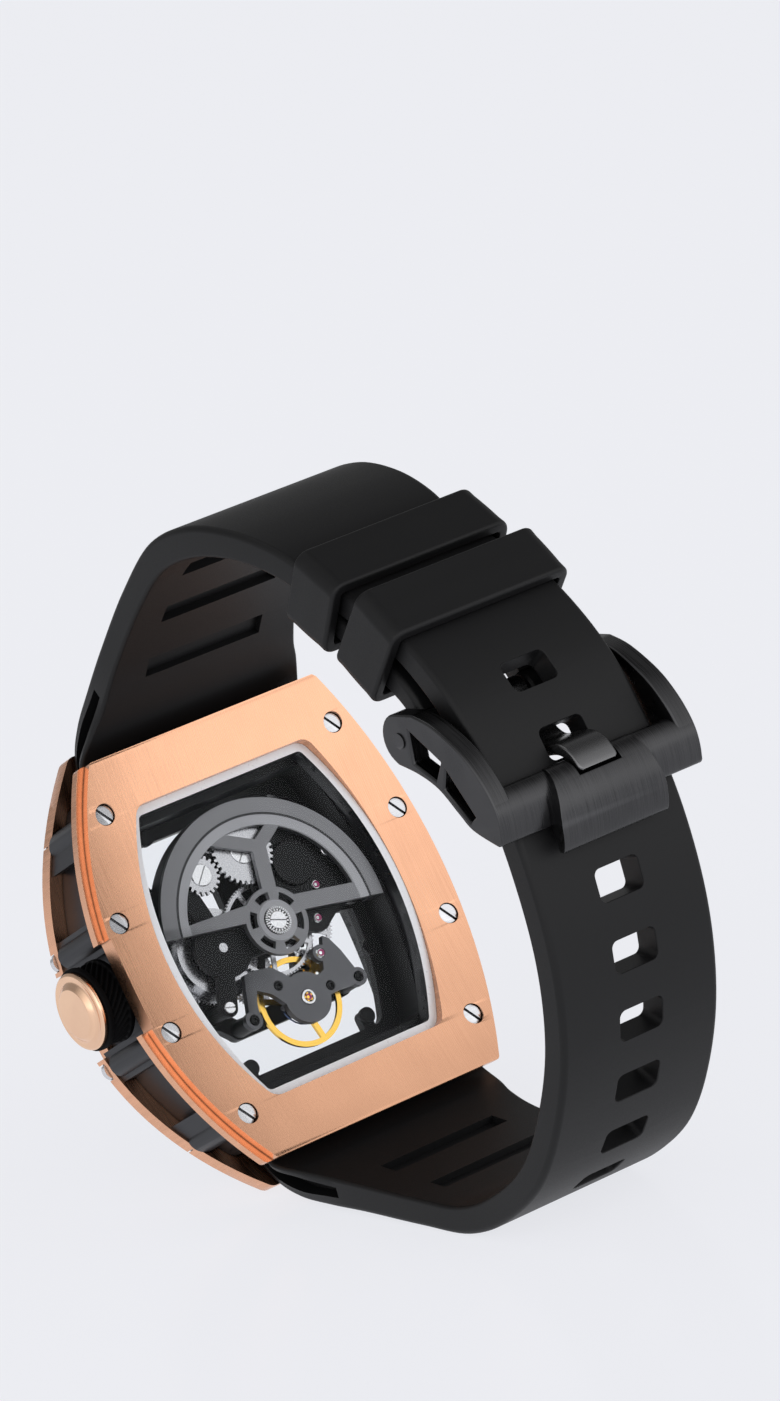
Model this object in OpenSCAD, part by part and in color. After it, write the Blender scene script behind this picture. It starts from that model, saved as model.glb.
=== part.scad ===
// Skeleton automatic wristwatch, fastened strap, standing on its lower strap bend.
// Watch axes: X towards the crown, Y out of the case back, Z towards 12 o'clock.

/* [Posture] */
// Lean of the case back on the table, where the strap bend carries the watch
lean = 24.3; // [20:0.1:28]

/* [Case] */
// Radius of the bowed sides of the case, seen from the back
side_r = 46; // [42:0.5:60]
// Half width of the back bezel
back_half_w = 21.4; // [21.2:0.1:22.4]
// Half width of the front bezel
front_half_w = 19.5; // [19.2:0.1:20.4]
// Half length of the back bezel
back_half_l = 22.4; // [22:0.1:23.4]
// Half length of the front bezel
front_half_l = 24.6; // [24.2:0.1:25.6]
// Radius of the hollow that the case back is curved to
back_dish_r = 110; // [100:1:160]
// Radius of the curved front
front_dome_r = 41; // [40:0.1:44]
// Thickness from the back face to the front face, at the middle
case_thick = 15.2; // [15:0.1:17]
// Thickness of the back bezel
back_bezel_t = 2.2; // [1.8:0.1:2.3]
// Thickness of the front bezel
front_bezel_t = 1.7; // [1.3:0.1:1.8]
// How far the recessed middle lies inside the front bezel's side
side_recess = 1.7; // [1.2:0.1:2]
// Height of the four pillars on each side of the middle
pillar_h = 3.6; // [2.5:0.1:4.2]

/* [Window] */
// Half width of the back window
window_half_w = 15.2; // [14.9:0.1:15.6]
// Half length of the back window
window_half_l = 16.6; // [16.2:0.1:17]
// Radius of the bowed sides of the window
window_side_r = 36; // [34:0.5:50]
// Corner radius of the window
window_corner_r = 1.6; // [1:0.1:2.2]
// Width of the gasket round each crystal
gasket_w = 0.9; // [0.6:0.05:1]
// Thickness of the back crystal
back_glass_t = 0.9; // [0.7:0.05:1]
// Thickness of the front crystal
front_glass_t = 1; // [0.8:0.05:1.1]

/* [Screws] */
// Distance of the corner screws from the middle line, across
corner_screw_x = 15; // [14.8:0.1:15.2]
// Distance of the corner screws from the middle line, along
corner_screw_z = 17; // [16.8:0.1:17.4]
// Distance of the side screws from the middle line, across
side_screw_x = 18.4; // [18.2:0.1:18.6]
// Distance of the side screws from the middle line, along
side_screw_z = 6.2; // [6:0.1:6.6]
// Diameter of a bezel screw's head
screw_head_d = 2.1; // [1.8:0.05:2.3]
// Diameter of a bezel screw's shank
screw_shank_d = 1; // [0.8:0.05:1.2]

/* [Crown] */
// Diameter of the gold crown cap
crown_cap_d = 8.4; // [8:0.1:9]
// Diameter of the rubber grip
crown_grip_d = 9; // [8.6:0.1:9.4]
// Length of the rubber grip
crown_grip_l = 3.3; // [3:0.1:3.6]
// Number of grooves in the grip
crown_grooves = 30; // [20:1:40]
// Diameter of the winding stem
stem_d = 1.2; // [1:0.05:1.4]
// Depth of the crown axis below the back face
crown_depth = 6.9; // [6.7:0.1:7.1]
// Travel of the crown when it is pulled out
crown_pull_travel = 1; // [0.6:0.1:1.2]

/* [Movement] */
// Radius of the winding rotor
rotor_r = 13.45; // [13:0.05:13.6]
// Width of the rotor's heavy rim
rotor_rim_w = 1.3; // [1:0.05:1.5]
// Depth of the rotor's heavy rim
rotor_rim_h = 2.6; // [2:0.1:2.7]
// Thickness of the rotor's web
rotor_web_t = 0.6; // [0.5:0.05:0.8]
// Thickness of the bridges
bridge_t = 0.8; // [0.6:0.05:1]
// Room between the bridges and the main plate
train_h = 3; // [2.9:0.05:3.1]
// Thickness of the main plate
plate_t = 1.2; // [1:0.05:1.3]
// Room between the main plate and the dial
motion_h = 1.8; // [1.7:0.05:1.9]
// Thickness of the dial ring
dial_t = 0.5; // [0.4:0.05:0.6]
// Diameter of the balance wheel
balance_d = 9.8; // [9.4:0.1:10]
// Size of one gear tooth, as a module
gear_module = 0.13; // [0.125:0.001:0.135]

/* [Hands] */
// Length of the minute hand
minute_hand_l = 10.8; // [9:0.1:11.4]
// Length of the hour hand
hour_hand_l = 7; // [6:0.1:8]

/* [Strap] */
// Bevel along the edges of the strap
strap_bevel = 0.5; // [0.3:0.05:0.6]
// Width of a tongue hole, across the strap
hole_w = 5.4; // [5.2:0.1:6]
// Height of a tongue hole, along the strap
hole_h = 3.4; // [3:0.1:3.8]
// Distance from one tongue hole to the next
hole_pitch = 7.1; // [6.8:0.1:7.4]
// Number of tongue holes
hole_count = 9; // [6:1:9]
// Length of a keeper along the strap
keeper_l = 6.3; // [5:0.1:6.4]
// Thickness of a keeper's wall
keeper_t = 1.2; // [1:0.05:1.4]
// Play between a keeper and the strap's edge
keeper_play = 0.3; // [0.25:0.05:0.5]

/* [Buckle] */
// Thickness of a buckle arm, across the strap
arm_t = 2.1; // [1.8:0.1:2.3]
// Play between a buckle arm and the strap's edge
arm_play = 0.6; // [0.5:0.05:0.8]
// Radius of the arm's round end at the buckle bar
arm_disc_r = 2.7; // [2.4:0.1:3]
// Diameter of the buckle bar
bar_d = 1.6; // [1.3:0.05:1.8]
// Width of the tongue
tongue_w = 4.8; // [4:0.1:4.9]
// Thickness of the tongue
tongue_t = 1.2; // [1:0.05:1.3]

/* [Hidden] */
$fn = 64;

// Depths of the layers below the middle of the case back, each the nearest face to the wrist
function back_y(z) = back_dish_r - sqrt(back_dish_r * back_dish_r - z * z);
front_y0 = front_dome_r - case_thick;
function front_y(z, in = 0) = front_y0 - sqrt(pow(front_dome_r - in, 2) - z * z);
glass_sink = 0.3;
glass_gap = 0.4;
rotor_y = -glass_sink - back_glass_t - glass_gap;
winding_t = 0.4;
winding_y = rotor_y - rotor_web_t - 0.25;
bridge_y = winding_y - winding_t - 0.1;
train_y = bridge_y - bridge_t;
plate_y = train_y - train_h;
motion_y = plate_y - plate_t;
dial_y = motion_y - motion_h;
hands_y = dial_y - dial_t;
wheel_t = 0.25;
level = [train_y - 0.15, train_y - 0.75, train_y - 1.5, train_y - 1.95, train_y - 2.35];
balance_rim_y = train_y - 0.95;

// Plan sizes of the middle
middle_half_w = front_half_w - side_recess;
middle_half_l = 20;
cavity_half_w = window_half_w + 0.4;
cavity_half_l = window_half_l + 1;
front_window_w = window_half_w + 1.2;
front_gasket_w = gasket_w * 0.6;
slide_fit = 0.03;
joint_gap = 0.1;

// Gear train: tooth counts and directions from one arbor to the next
barrel_n = 80;
center_pinion_n = 20;
center_n = 80;
third_pinion_n = 10;
third_n = 48;
fourth_pinion_n = 9;
fourth_n = 46;
fifth_pinion_n = 10;
fifth_n = 50;
escape_pinion_n = 9;
ratchet_n = 56;
crown_wheel_n = 34;
winding_n = 38;
cannon_n = 12;
minute_wheel_n = 48;
minute_pinion_n = 15;
hour_n = 45;
function gear_r(n) = n * gear_module / 2;
function step(from, n1, n2, a) = from + (gear_r(n1) + gear_r(n2)) * [cos(a), sin(a)];
center_at = [0, 0];
barrel_a = 0;
third_a = 132;
fourth_a = 213;
fifth_a = -65;
escape_a = -66;
crown_wheel_a = -7;
winding_a = -149;
minute_wheel_a = -60;
barrel_at = step(center_at, barrel_n, center_pinion_n, barrel_a);
third_at = step(center_at, center_n, third_pinion_n, third_a);
fourth_at = step(third_at, third_n, fourth_pinion_n, fourth_a);
fifth_at = step(fourth_at, fourth_n, fifth_pinion_n, fifth_a);
escape_at = step(fifth_at, fifth_n, escape_pinion_n, escape_a);
balance_at = [-0.2, -8.2];
ratchet_at = [-0.2, 8.5];
crown_wheel_at = step(ratchet_at, ratchet_n, crown_wheel_n, crown_wheel_a);
winding_at = step(ratchet_at, ratchet_n, winding_n, winding_a);
pallet_at = escape_at + 0.52 * (balance_at - escape_at);
minute_wheel_at = step(center_at, minute_wheel_n, cannon_n, minute_wheel_a);
rotor_at = [0, 0.3];
arbor_r = 0.18;
center_arbor_r = 0.45;
barrel_arbor_r = 0.5;
jewel_r = 0.55;
bearing_r = 1.5;
cock_feet = [[6.9, -8.2], [-6.9, -8.3]];
barrel_feet = [[9.0, -6.0], [7.8, 7.6], [3.0, 10.2]];
train_feet = [[-10.6, 0.2], [-10.0, 5.3], [-3.4, 10.6]];
frame_bosses = [[7.3, 14.0], [-12.0, -5.6], [-7.9, -12.2], [7.7, -12.4]];

// Strap: points along the inner and the outer face, each [y, z, half width]
// Both straps start in the case, under the back bezel and over the front one
strap_gap = 0.4;
seat_z = middle_half_l + 0.2;
back_seat_y = back_y(seat_z) - back_bezel_t - strap_gap;
back_lip_y = back_y(back_half_l) - back_bezel_t - strap_gap;
front_seat_y = front_y(seat_z, front_bezel_t) + 0.7;
front_lip_z = front_half_l - 0.3;
front_lip_y = front_y(front_lip_z, front_bezel_t) + 0.3;
lip_z = back_half_l + 0.1;
out_z = back_half_l + 2.2;
strap_short_in = [[back_seat_y, seat_z, 13.4], [back_lip_y, lip_z, 14.3],
    [2.6, out_z, 13.6], [5.2, out_z + 1.7, 12.7], [10.5, 29.6, 11.9], [18.5, 32.9, 11.6], [25.2, 34.6, 11.4], [31.2, 33.9, 11.2],
    [36.8, 31.5, 10.8], [41.0, 28.2, 10.2], [43.2, 25.2, 9.7], [44.2, 21.9, 9.6],
    [46.3, 18.8, 9.6], [50.7, 11.3, 9.6], [51.7, 8.3, 9.6]];
strap_short_out = [[front_seat_y, seat_z, 12.0], [front_lip_y, front_lip_z, 12.2],
    [front_lip_y + 3.2, front_lip_z + 2.7, 12.1], [3.0, front_lip_z + 5.1, 12.0],
    [9.0, 32.2, 11.9], [17.2, 35.7, 11.6], [25.1, 37.9, 11.4], [32.3, 37.0, 11.2],
    [38.6, 34.0, 10.8], [43.4, 30.1, 10.2], [45.8, 26.6, 9.7], [46.1, 22.9, 9.6],
    [48.1, 20.1, 9.6], [52.9, 12.4, 9.6], [53.8, 8.6, 9.6]];
strap_long_in = [[back_seat_y, -seat_z, 13.4], [back_lip_y, -lip_z, 14.3],
    [2.6, -out_z, 13.6], [5.0, -out_z - 1.6, 12.7], [9.2, -28.7, 11.8], [16.4, -32.5, 11.1], [22.4, -35.3, 10.6], [28.4, -35.9, 10.3],
    [35.5, -34.7, 10.2], [42.0, -31.0, 10.1], [48.2, -25.5, 10.0], [53.0, -18.2, 10.0],
    [56.0, -9.5, 10.0], [57.2, -1.0, 9.9], [56.6, 7.0, 9.8], [53.8, 14.2, 9.7],
    [49.3, 19.6, 9.6], [46.9, 22.4, 9.5]];
strap_long_out = [[front_seat_y, -seat_z, 12.0], [front_lip_y, -front_lip_z, 12.2],
    [front_lip_y + 3.0, -front_lip_z - 2.7, 12.1], [2.6, -front_lip_z - 4.9, 12.0],
    [7.6, -31.5, 11.7], [15.2, -35.3, 11.1], [21.8, -38.3, 10.6], [28.4, -38.9, 10.3],
    [36.5, -37.5, 10.2], [43.9, -33.4, 10.1], [50.6, -27.4, 10.0], [55.8, -19.5, 10.0],
    [59.0, -10.3, 10.0], [60.2, -1.1, 9.9], [59.6, 7.4, 9.8], [56.2, 15.8, 9.7],
    [51.4, 21.5, 9.6], [48.5, 24.6, 9.4]];
strap_steps = 4;
bar_at = [-3.4, 21.6];
lug_half_w = 3;
buckle_at = [52.9, 6.8];
first_hole_at = 7.3;

// Posture on the table: the lowest point of the front bezel and of the strap bend
function row_z(y, z) = y * sin(lean) + z * cos(lean);
function row_y(y, z) = y * cos(lean) - z * sin(lean);
crown_tip_x = 23.9;
middle_x = (crown_tip_x - back_half_w) / 2;

// Curve through the points p, with strap_steps pieces between each two
function catmull(a, b, c, d, t) =
    0.5 * (2 * b + (c - a) * t + (2 * a - 5 * b + 4 * c - d) * t * t + (3 * b - a - 3 * c + d) * t * t * t);
function smooth(p) = [
    for (i = [0 : len(p) - 2], j = [0 : strap_steps - 1])
        catmull(p[max(i - 1, 0)], p[i], p[i + 1], p[min(i + 2, len(p) - 1)], j / strap_steps),
    p[len(p) - 1]
];

module plate(y0, y1) {
    translate([0, y1, 0]) rotate([90, 0, 0]) linear_extrude(y1 - y0) children();
}

module disc(at, y0, y1, r) {
    translate([at[0], y1, at[1]]) rotate([90, 0, 0]) cylinder(h = y1 - y0, r = r);
}

module xrod(y, z, x0, x1, r) {
    translate([x0, y, z]) rotate([0, 90, 0]) cylinder(h = x1 - x0, r = r);
}

// Points on an arc about c, from the angle a0 to a1 in n steps
function arc(c, r, a0, a1, n) = [
    for (i = [0 : n])
        c + r * [cos(a0 + (a1 - a0) * i / n), sin(a0 + (a1 - a0) * i / n)]
];

// Outline with bowed sides, straight ends and round corners
module tonneau(hw, hl, r, corner) {
    cx = r - hw;
    fz = hl - corner;
    fx = sqrt(pow(r - corner, 2) - fz * fz) - cx;
    a = asin(fz / (r - corner));
    side = arc([-cx, 0], r, -a, a, 32);
    round_up = arc([fx, fz], corner, a + (90 - a) / 6, 90, 5);
    half = concat(side, round_up);
    turned = [for (q = round_up) [q[0], -q[1]]];
    right = concat([for (i = [len(turned) - 1 : -1 : 0]) turned[i]], half);
    polygon(concat(right, [for (q = right) -q]));
}

module back_window(in) {
    tonneau(window_half_w - in, window_half_l - in, window_side_r - in, window_corner_r - in);
}

module front_window(in) {
    tonneau(front_window_w - in, window_half_l - in, window_side_r - in, window_corner_r - in);
}

// Keeps the part of its children between two depths below the curved back
module under_back(d0, d1) {
    intersection() {
        children();
        difference() {
            xrod(back_dish_r, 0, -40, 40, back_dish_r + d1, $fn = 720);
            xrod(back_dish_r, 0, -41, 41, back_dish_r + d0, $fn = 720);
        }
    }
}

// Keeps the part of its children between two depths below the curved front
module under_front(d0, d1) {
    intersection() {
        children();
        difference() {
            xrod(front_y0, 0, -40, 40, front_dome_r - d0, $fn = 360);
            xrod(front_y0, 0, -41, 41, front_dome_r - d1, $fn = 360);
        }
    }
}

module at_screws() {
    for (sx = [-1, 1], sz = [-1, 1]) {
        translate([sx * corner_screw_x, 0, sz * corner_screw_z]) children();
        translate([sx * side_screw_x, 0, sz * side_screw_z]) children();
    }
}

function back_screw_y(z) = back_y(z - screw_head_d / 2) - 0.15;
screw_head_t = 0.8;

module back_bezel() {
    step_in = 0.8;
    notch_x = 20.1;
    notch_z = 5.1;
    color("#dcab88") difference() {
        union() {
            under_back(0, back_bezel_t / 2 + 0.01)
                plate(-8, 8) tonneau(back_half_w - step_in, back_half_l, side_r - step_in, 0.4);
            under_back(back_bezel_t / 2, back_bezel_t)
                plate(-8, 8) tonneau(back_half_w, back_half_l, side_r, 0.6);
        }
        plate(-8, 8) back_window(0);
        at_screws() disc([0, 0], -8, 8, screw_shank_d / 2 + 0.04);
        for (sx = [-1, 1], sz = [-1, 1],
                p = [[corner_screw_x, corner_screw_z], [side_screw_x, side_screw_z]])
            disc([sx * p[0], sz * p[1]], back_screw_y(p[1]) - screw_head_t, 8, screw_head_d / 2 + 0.1);
        translate([notch_x, -8, -notch_z]) cube([8, 16, 2 * notch_z]);
    }
}

module ring_gasket(in) {
    difference() {
        back_window(0);
        back_window(in);
    }
}

module back_gasket() {
    color("#e8e8ea") plate(-back_bezel_t, -0.1) ring_gasket(gasket_w);
}

module back_crystal() {
    color("#dfe8ee", 0.25) plate(-glass_sink - back_glass_t, -glass_sink) back_window(gasket_w);
}

module slotted_screw(y, foot) {
    slot_w = 0.3;
    slot_d = 0.3;
    difference() {
        union() {
            disc([0, 0], y - screw_head_t, y, screw_head_d / 2);
            disc([0, 0], foot, y - screw_head_t + 0.01, screw_shank_d / 2);
        }
        rotate([0, 35, 0]) translate([-slot_w / 2, y - slot_d, -2]) cube([slot_w, 1, 4]);
    }
}

module back_screws() {
    color("#c9cbce") for (sx = [-1, 1], sz = [-1, 1]) {
        translate([sx * corner_screw_x, 0, sz * corner_screw_z])
            slotted_screw(back_screw_y(corner_screw_z), -4.6);
        translate([sx * side_screw_x, 0, sz * side_screw_z])
            slotted_screw(back_screw_y(side_screw_z), -6);
    }
}

module case_middle() {
    pillar_half_w = front_half_w - 0.3;
    color("#2c2d30") difference() {
        intersection() {
            union() {
                plate(-case_thick, 4) tonneau(middle_half_w, middle_half_l, side_r, 1);
                for (sz = [-1, 1], z = [6.2, 16.2])
                    intersection() {
                        plate(-case_thick, 4) tonneau(pillar_half_w, middle_half_l, side_r, 1);
                        translate([-30, -case_thick, sz * z - pillar_h / 2]) cube([60, 30, pillar_h]);
                    }
                for (sz = [-1, 1])
                    translate([-lug_half_w, bar_at[0] - 1.7, sz > 0 ? 0 : -bar_at[1] - 1.5])
                        cube([2 * lug_half_w, 3.4, bar_at[1] + 1.5]);
                for (sx = [-1, 1]) disc([sx * side_screw_x, side_screw_z], -12, 4, 1.3);
                for (sx = [-1, 1]) disc([sx * side_screw_x, -side_screw_z], -12, 4, 1.3);
                for (sx = [-1, 1], sz = [-1, 1])
                    disc([sx * corner_screw_x, sz * corner_screw_z], -12, 4, 1.4);
            }
            xrod(front_y0, 0, -40, 40, front_dome_r - front_bezel_t, $fn = 360);
        }
        xrod(back_dish_r, 0, -41, 41, back_dish_r + back_bezel_t, $fn = 720);
        plate(-30, 8) tonneau(cavity_half_w, cavity_half_l, side_r, 2);
        plate(-30, motion_y - 0.4) tonneau(front_window_w + 0.2, cavity_half_l, side_r, 2);
        at_screws() disc([0, 0], -30, 8, screw_shank_d / 2 + 0.04);
        for (sz = [-1, 1]) xrod(bar_at[0], sz * bar_at[1], -20, 20, bar_d / 2 + slide_fit);
        xrod(-crown_depth, 0, 10, 30, crown_tube_d / 2);
    }
}

crown_tube_d = 3.2;
crown_x = crown_tip_x - 1.2 - crown_grip_l;

module front_bezel() {
    notch_x = front_half_w - 1.2;
    notch_z = 4.9;
    color("#dcab88") difference() {
        under_front(0, front_bezel_t) plate(-case_thick - 1, 0)
            tonneau(front_half_w, front_half_l, side_r, 0.8);
        plate(-case_thick - 1, 8) front_window(0);
        at_screws() {
            disc([0, 0], -30, front_screw_y(corner_screw_z) + 20, screw_shank_d / 2 + 0.04);
        }
        front_heads(0.1, 8);
        translate([notch_x, -30, -notch_z]) cube([8, 40, 2 * notch_z]);
    }
}

function front_screw_y(z) = front_y(z + screw_head_d / 2, 0.1);

// Heads of the front screws, or with play the pockets they sit in
module front_heads(play, above) {
    for (sx = [-1, 1], sz = [-1, 1], p = [[corner_screw_x, corner_screw_z], [side_screw_x, side_screw_z]])
        disc([sx * p[0], sz * p[1]], front_screw_y(p[1]) - above,
            front_screw_y(p[1]) + 0.7, screw_head_d / 2 + play);
}

module front_gasket() {
    color("#d9dadc") under_front(0.1, front_bezel_t) plate(-case_thick - 1, 0) difference() {
        front_window(0);
        front_window(front_gasket_w);
    }
}

module front_crystal() {
    color("#dfe8ee", 0.25) under_front(0.1, 0.1 + front_glass_t)
        plate(-case_thick - 1, 0) front_window(front_gasket_w);
}

module front_screws() {
    color("#c9cbce") for (sx = [-1, 1], sz = [-1, 1],
            p = [[corner_screw_x, corner_screw_z, -4.8], [side_screw_x, side_screw_z, -6.2]]) {
        difference() {
            disc([sx * p[0], sz * p[1]], front_screw_y(p[1]), front_screw_y(p[1]) + 0.7, screw_head_d / 2);
            translate([sx * p[0], front_screw_y(p[1]), sz * p[1]]) rotate([0, 40, 0])
                translate([-0.15, -1, -2]) cube([0.3, 1.25, 4]);
        }
        disc([sx * p[0], sz * p[1]], front_screw_y(p[1]) + 0.69, p[2], screw_shank_d / 2);
    }
}

module crown_tube() {
    color("#3a3b3e") difference() {
        xrod(-crown_depth, 0, cavity_half_w, crown_x - 0.6, crown_tube_d / 2);
        xrod(-crown_depth, 0, 0, 30, stem_d / 2 + slide_fit);
    }
}

module crown_cap() {
    disc_r = crown_cap_d / 2 * 0.75;
    color("#dcab88") {
        xrod(-crown_depth, 0, crown_x + crown_grip_l, crown_tip_x - 0.5, crown_cap_d / 2);
        xrod(-crown_depth, 0, crown_tip_x - 0.51, crown_tip_x, disc_r);
    }
}

module crown_grip() {
    groove_r = 0.25;
    color("#1d1d1f") difference() {
        xrod(-crown_depth, 0, crown_x, crown_x + crown_grip_l, crown_grip_d / 2);
        xrod(-crown_depth, 0, crown_x - 1, crown_x + 1.2, crown_cap_d / 2 - 0.8);
        xrod(-crown_depth, 0, crown_x - 1, crown_x + crown_grip_l + 1, stem_d / 2);
        for (i = [0 : crown_grooves - 1])
            translate([crown_x - 1, -crown_depth, 0]) rotate([360 / crown_grooves * i, 0, 0])
                translate([0, crown_grip_d / 2 + 0.05, 0]) rotate([0, 90, 0])
                    cylinder(h = crown_grip_l + 2, r = groove_r, $fn = 16);
    }
}

module crown_ring() {
    color("#dcab88") difference() {
        xrod(-crown_depth, 0, crown_x - 0.4, crown_x, crown_cap_d / 2 - 0.1);
        xrod(-crown_depth, 0, crown_x - 1, crown_x + 1, crown_cap_d / 2 - 0.8);
    }
}

stem_end_x = 12.4;
groove_x = 13.4;

module crown_stem() {
    groove_w = 0.6;
    color("#b9bbbe") difference() {
        xrod(-crown_depth, 0, stem_end_x, crown_x + crown_grip_l, stem_d / 2);
        difference() {
            xrod(-crown_depth, 0, groove_x - groove_w / 2, groove_x + groove_w / 2, stem_d);
            xrod(-crown_depth, 0, groove_x - 1, groove_x + 1, stem_d / 2 - 0.2);
        }
    }
}

// Fork that follows the stem in and out and sits in its groove
module setting_slide() {
    color("#c9cbce") difference() {
        translate([groove_x - 0.27, -crown_depth - 0.6, -1.1]) cube([0.54, 1.2, 2.6]);
        xrod(-crown_depth, 0, 0, 30, stem_d / 2 - 0.2 + slide_fit);
        translate([groove_x - 1, -crown_depth - 0.43, -3]) cube([2, 0.86, 3]);
    }
}

module movement_ring() {
    top_y = -back_bezel_t - 0.05;
    inner_w = rotor_r + 0.35;
    color("#232427") difference() {
        plate(plate_y, top_y) difference() {
            tonneau(cavity_half_w - joint_gap, cavity_half_l - joint_gap, side_r, 1.9);
            tonneau(inner_w, window_half_l - 1.8, side_r, 1.6);
        }
        disc(rotor_at, rotor_y - rotor_rim_h - 0.3, 2, rotor_r + 0.2);
        xrod(-crown_depth, 0, 10, 30, stem_d / 2 + 0.3);
        translate([groove_x - 0.6, plate_y - 1, -1.2]) cube([2.4, 2, 3]);
    }
}

// Flat bar with round ends from one point to another
module link(a, b, w) {
    t = atan2(b[1] - a[1], b[0] - a[0]);
    polygon(concat(arc(b, w / 2, t - 90, t + 90, 12), arc(a, w / 2, t + 90, t + 270, 12)));
}

// Ring plate with the arms that carry the arbors
module main_plate() {
    stem_slot = 1.8;
    post_r = 0.35;
    color("#2a2b2e") difference() {
        union() {
            plate(motion_y, plate_y) intersection() {
                tonneau(cavity_half_w - joint_gap, cavity_half_l - joint_gap, side_r, 1.9);
                union() {
                    difference() {
                        tonneau(cavity_half_w - joint_gap, cavity_half_l - joint_gap, side_r, 1.9);
                        tonneau(12.3, 13.4, 34, 1.4);
                    }
                    link(barrel_at, [14, -1.8], 4);
                    link(barrel_at, [12, 10], 4);
                    link(center_at, barrel_at, 5);
                    link(center_at, third_at, 4);
                    link(third_at, [-7, 14.5], 4);
                    link(third_at, fourth_at, 3);
                    link(fourth_at, train_feet[1], 2);
                    link(train_feet[1], [-13.2, 6.4], 2.2);
                    link(fourth_at, train_feet[0], 2.2);
                    link(train_feet[0], [-13.5, -0.4], 2);
                    link(fourth_at, fifth_at, 2.4);
                    link(fifth_at, escape_at, 2.4);
                    link(escape_at, pallet_at, 2);
                    link(center_at, fifth_at, 2.6);
                    link(pallet_at, balance_at, 2);
                    link(balance_at, cock_feet[0], 2.1);
                    link(balance_at, cock_feet[1], 2.1);
                    link(cock_feet[0], barrel_feet[0], 2);
                    for (i = [2, 3]) link(frame_bosses[i], [frame_bosses[i][0], -14.5], 1.4);
                    link(barrel_at, barrel_feet[0], 3);
                    link(center_at, ratchet_at, 4);
                    link(ratchet_at, [0, 14.5], 4);
                    link(ratchet_at, barrel_feet[1], 3);
                    link(ratchet_at, train_feet[2], 3);
                    translate(barrel_at) circle(r = 4.4);
                    link(center_at, minute_wheel_at, 2.2);
                }
            }
            for (b = frame_bosses) disc(b, plate_y - 0.01, plate_y + 0.5, 0.9);
            for (p = cock_feet) disc(p, plate_y - 0.01, train_y, 0.9);
            for (p = concat(barrel_feet, train_feet)) disc(p, plate_y - 0.01, train_y, 0.8);
            disc(minute_wheel_at, dial_y + 0.25, motion_y + 0.01, post_r);
        }
        disc(barrel_at, plate_y - 0.6, plate_y + 1, barrel_arbor_r + slide_fit);
        for (p = [third_at, fourth_at, fifth_at, escape_at, pallet_at, balance_at])
            disc(p, plate_y - 0.6, plate_y + 1, arbor_r + slide_fit);
        disc(center_at, -20, 0, center_arbor_r + slide_fit);
        translate([stem_end_x - 0.5, -20, -stem_slot / 2]) cube([10, 30, stem_slot]);
        translate([groove_x - 0.6, -20, -1.2]) cube([2.4, 30, 3]);
    }
}

module center_bores() {
    disc(center_at, -20, 0, center_arbor_r + slide_fit);
    disc(rotor_at, bridge_y - 0.3, 0, bearing_r + 0.02);
}

module winding_post(at) {
    disc(at, bridge_y - 0.01, winding_y - winding_t / 2 - 0.02, 0.5);
}

module barrel_bridge() {
    color("#303135") {
        difference() {
            plate(train_y, bridge_y) difference() {
                union() {
                    translate(barrel_at) circle(r = 3.3);
                    link(barrel_at, barrel_feet[0], 2);
                    link(barrel_at, barrel_feet[1], 2.2);
                    link(barrel_feet[1], crown_wheel_at, 2.4);
                    link(crown_wheel_at, barrel_feet[2], 3);
                    link(barrel_at, [1.6, 0], 4.4);
                    translate(center_at) circle(r = 2.4);
                }
                translate([-14.95, -20]) square([15, 40]);
            }
            disc(barrel_at, -20, 0, barrel_arbor_r + slide_fit);
            for (p = barrel_feet) disc(p, bridge_y - sunk_d, 0, sunk_r + 0.04);
            center_bores();
        }
        winding_post(crown_wheel_at);
    }
}

module train_bridge() {
    color("#303135") {
        difference() {
            plate(train_y, bridge_y) difference() {
                union() {
                    link(third_at, fourth_at, 3);
                    link(third_at, winding_at, 4);
                    link(fourth_at, train_feet[0], 2.4);
                    link(winding_at, train_feet[1], 1.7);
                    link(winding_at, ratchet_at, 4);
                    link(ratchet_at, train_feet[2], 2);
                    link(fourth_at, fifth_at, 3);
                    link(fifth_at, center_at, 2.6);
                    link(third_at, center_at, 3.6);
                    link(ratchet_at, center_at, 4);
                    polygon(train_cover);
                    translate(center_at) circle(r = 2.4);
                }
                translate([-0.05, -20]) square([20, 60]);
            }
            for (p = train_jewels) disc(p, -20, 0, jewel_r);
            for (p = train_feet) disc(p, bridge_y - sunk_d, 0, sunk_r + 0.04);
            center_bores();
        }
        winding_post(ratchet_at);
        winding_post(winding_at);
    }
}

train_jewels = [third_at, fourth_at, fifth_at];
train_cover = [[0, 11.2], [-3.4, 11.2], [-7.2, 8.9], [-9.6, 6.2], [-11, 3], [-11.3, -0.4], [-8.2, -1.0],
    [-6.4, -2.1], [-4.4, -1.9], [0, -1.2]];

// Grey cock over the balance: round end, body and two wings that run down to their feet
cock_outline = [[5.7, -3.5], [4.1, -3.5], [2.4, -3.8], [1.4, -4.8], [0.8, -5.5], [-0.6, -5.8], [-2.6, -6.5],
    [-3.4, -6.2], [-3.8, -5.2], [-4.5, -3.9], [-5.0, -2.9], [-5.6, -3.4], [-6.3, -5.0], [-6.9, -7.2],
    [-7.1, -8.6], [-5.9, -8.9], [-4.5, -8.8], [-2.8, -8.9], [-1.0, -9.2], [1.0, -9.0], [2.6, -7.9],
    [3.2, -7.0], [3.7, -6.4], [5.1, -5.5], [5.7, -6.6], [6.0, -7.8], [6.9, -7.8], [7.1, -7.2], [6.3, -5.0]];

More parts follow.
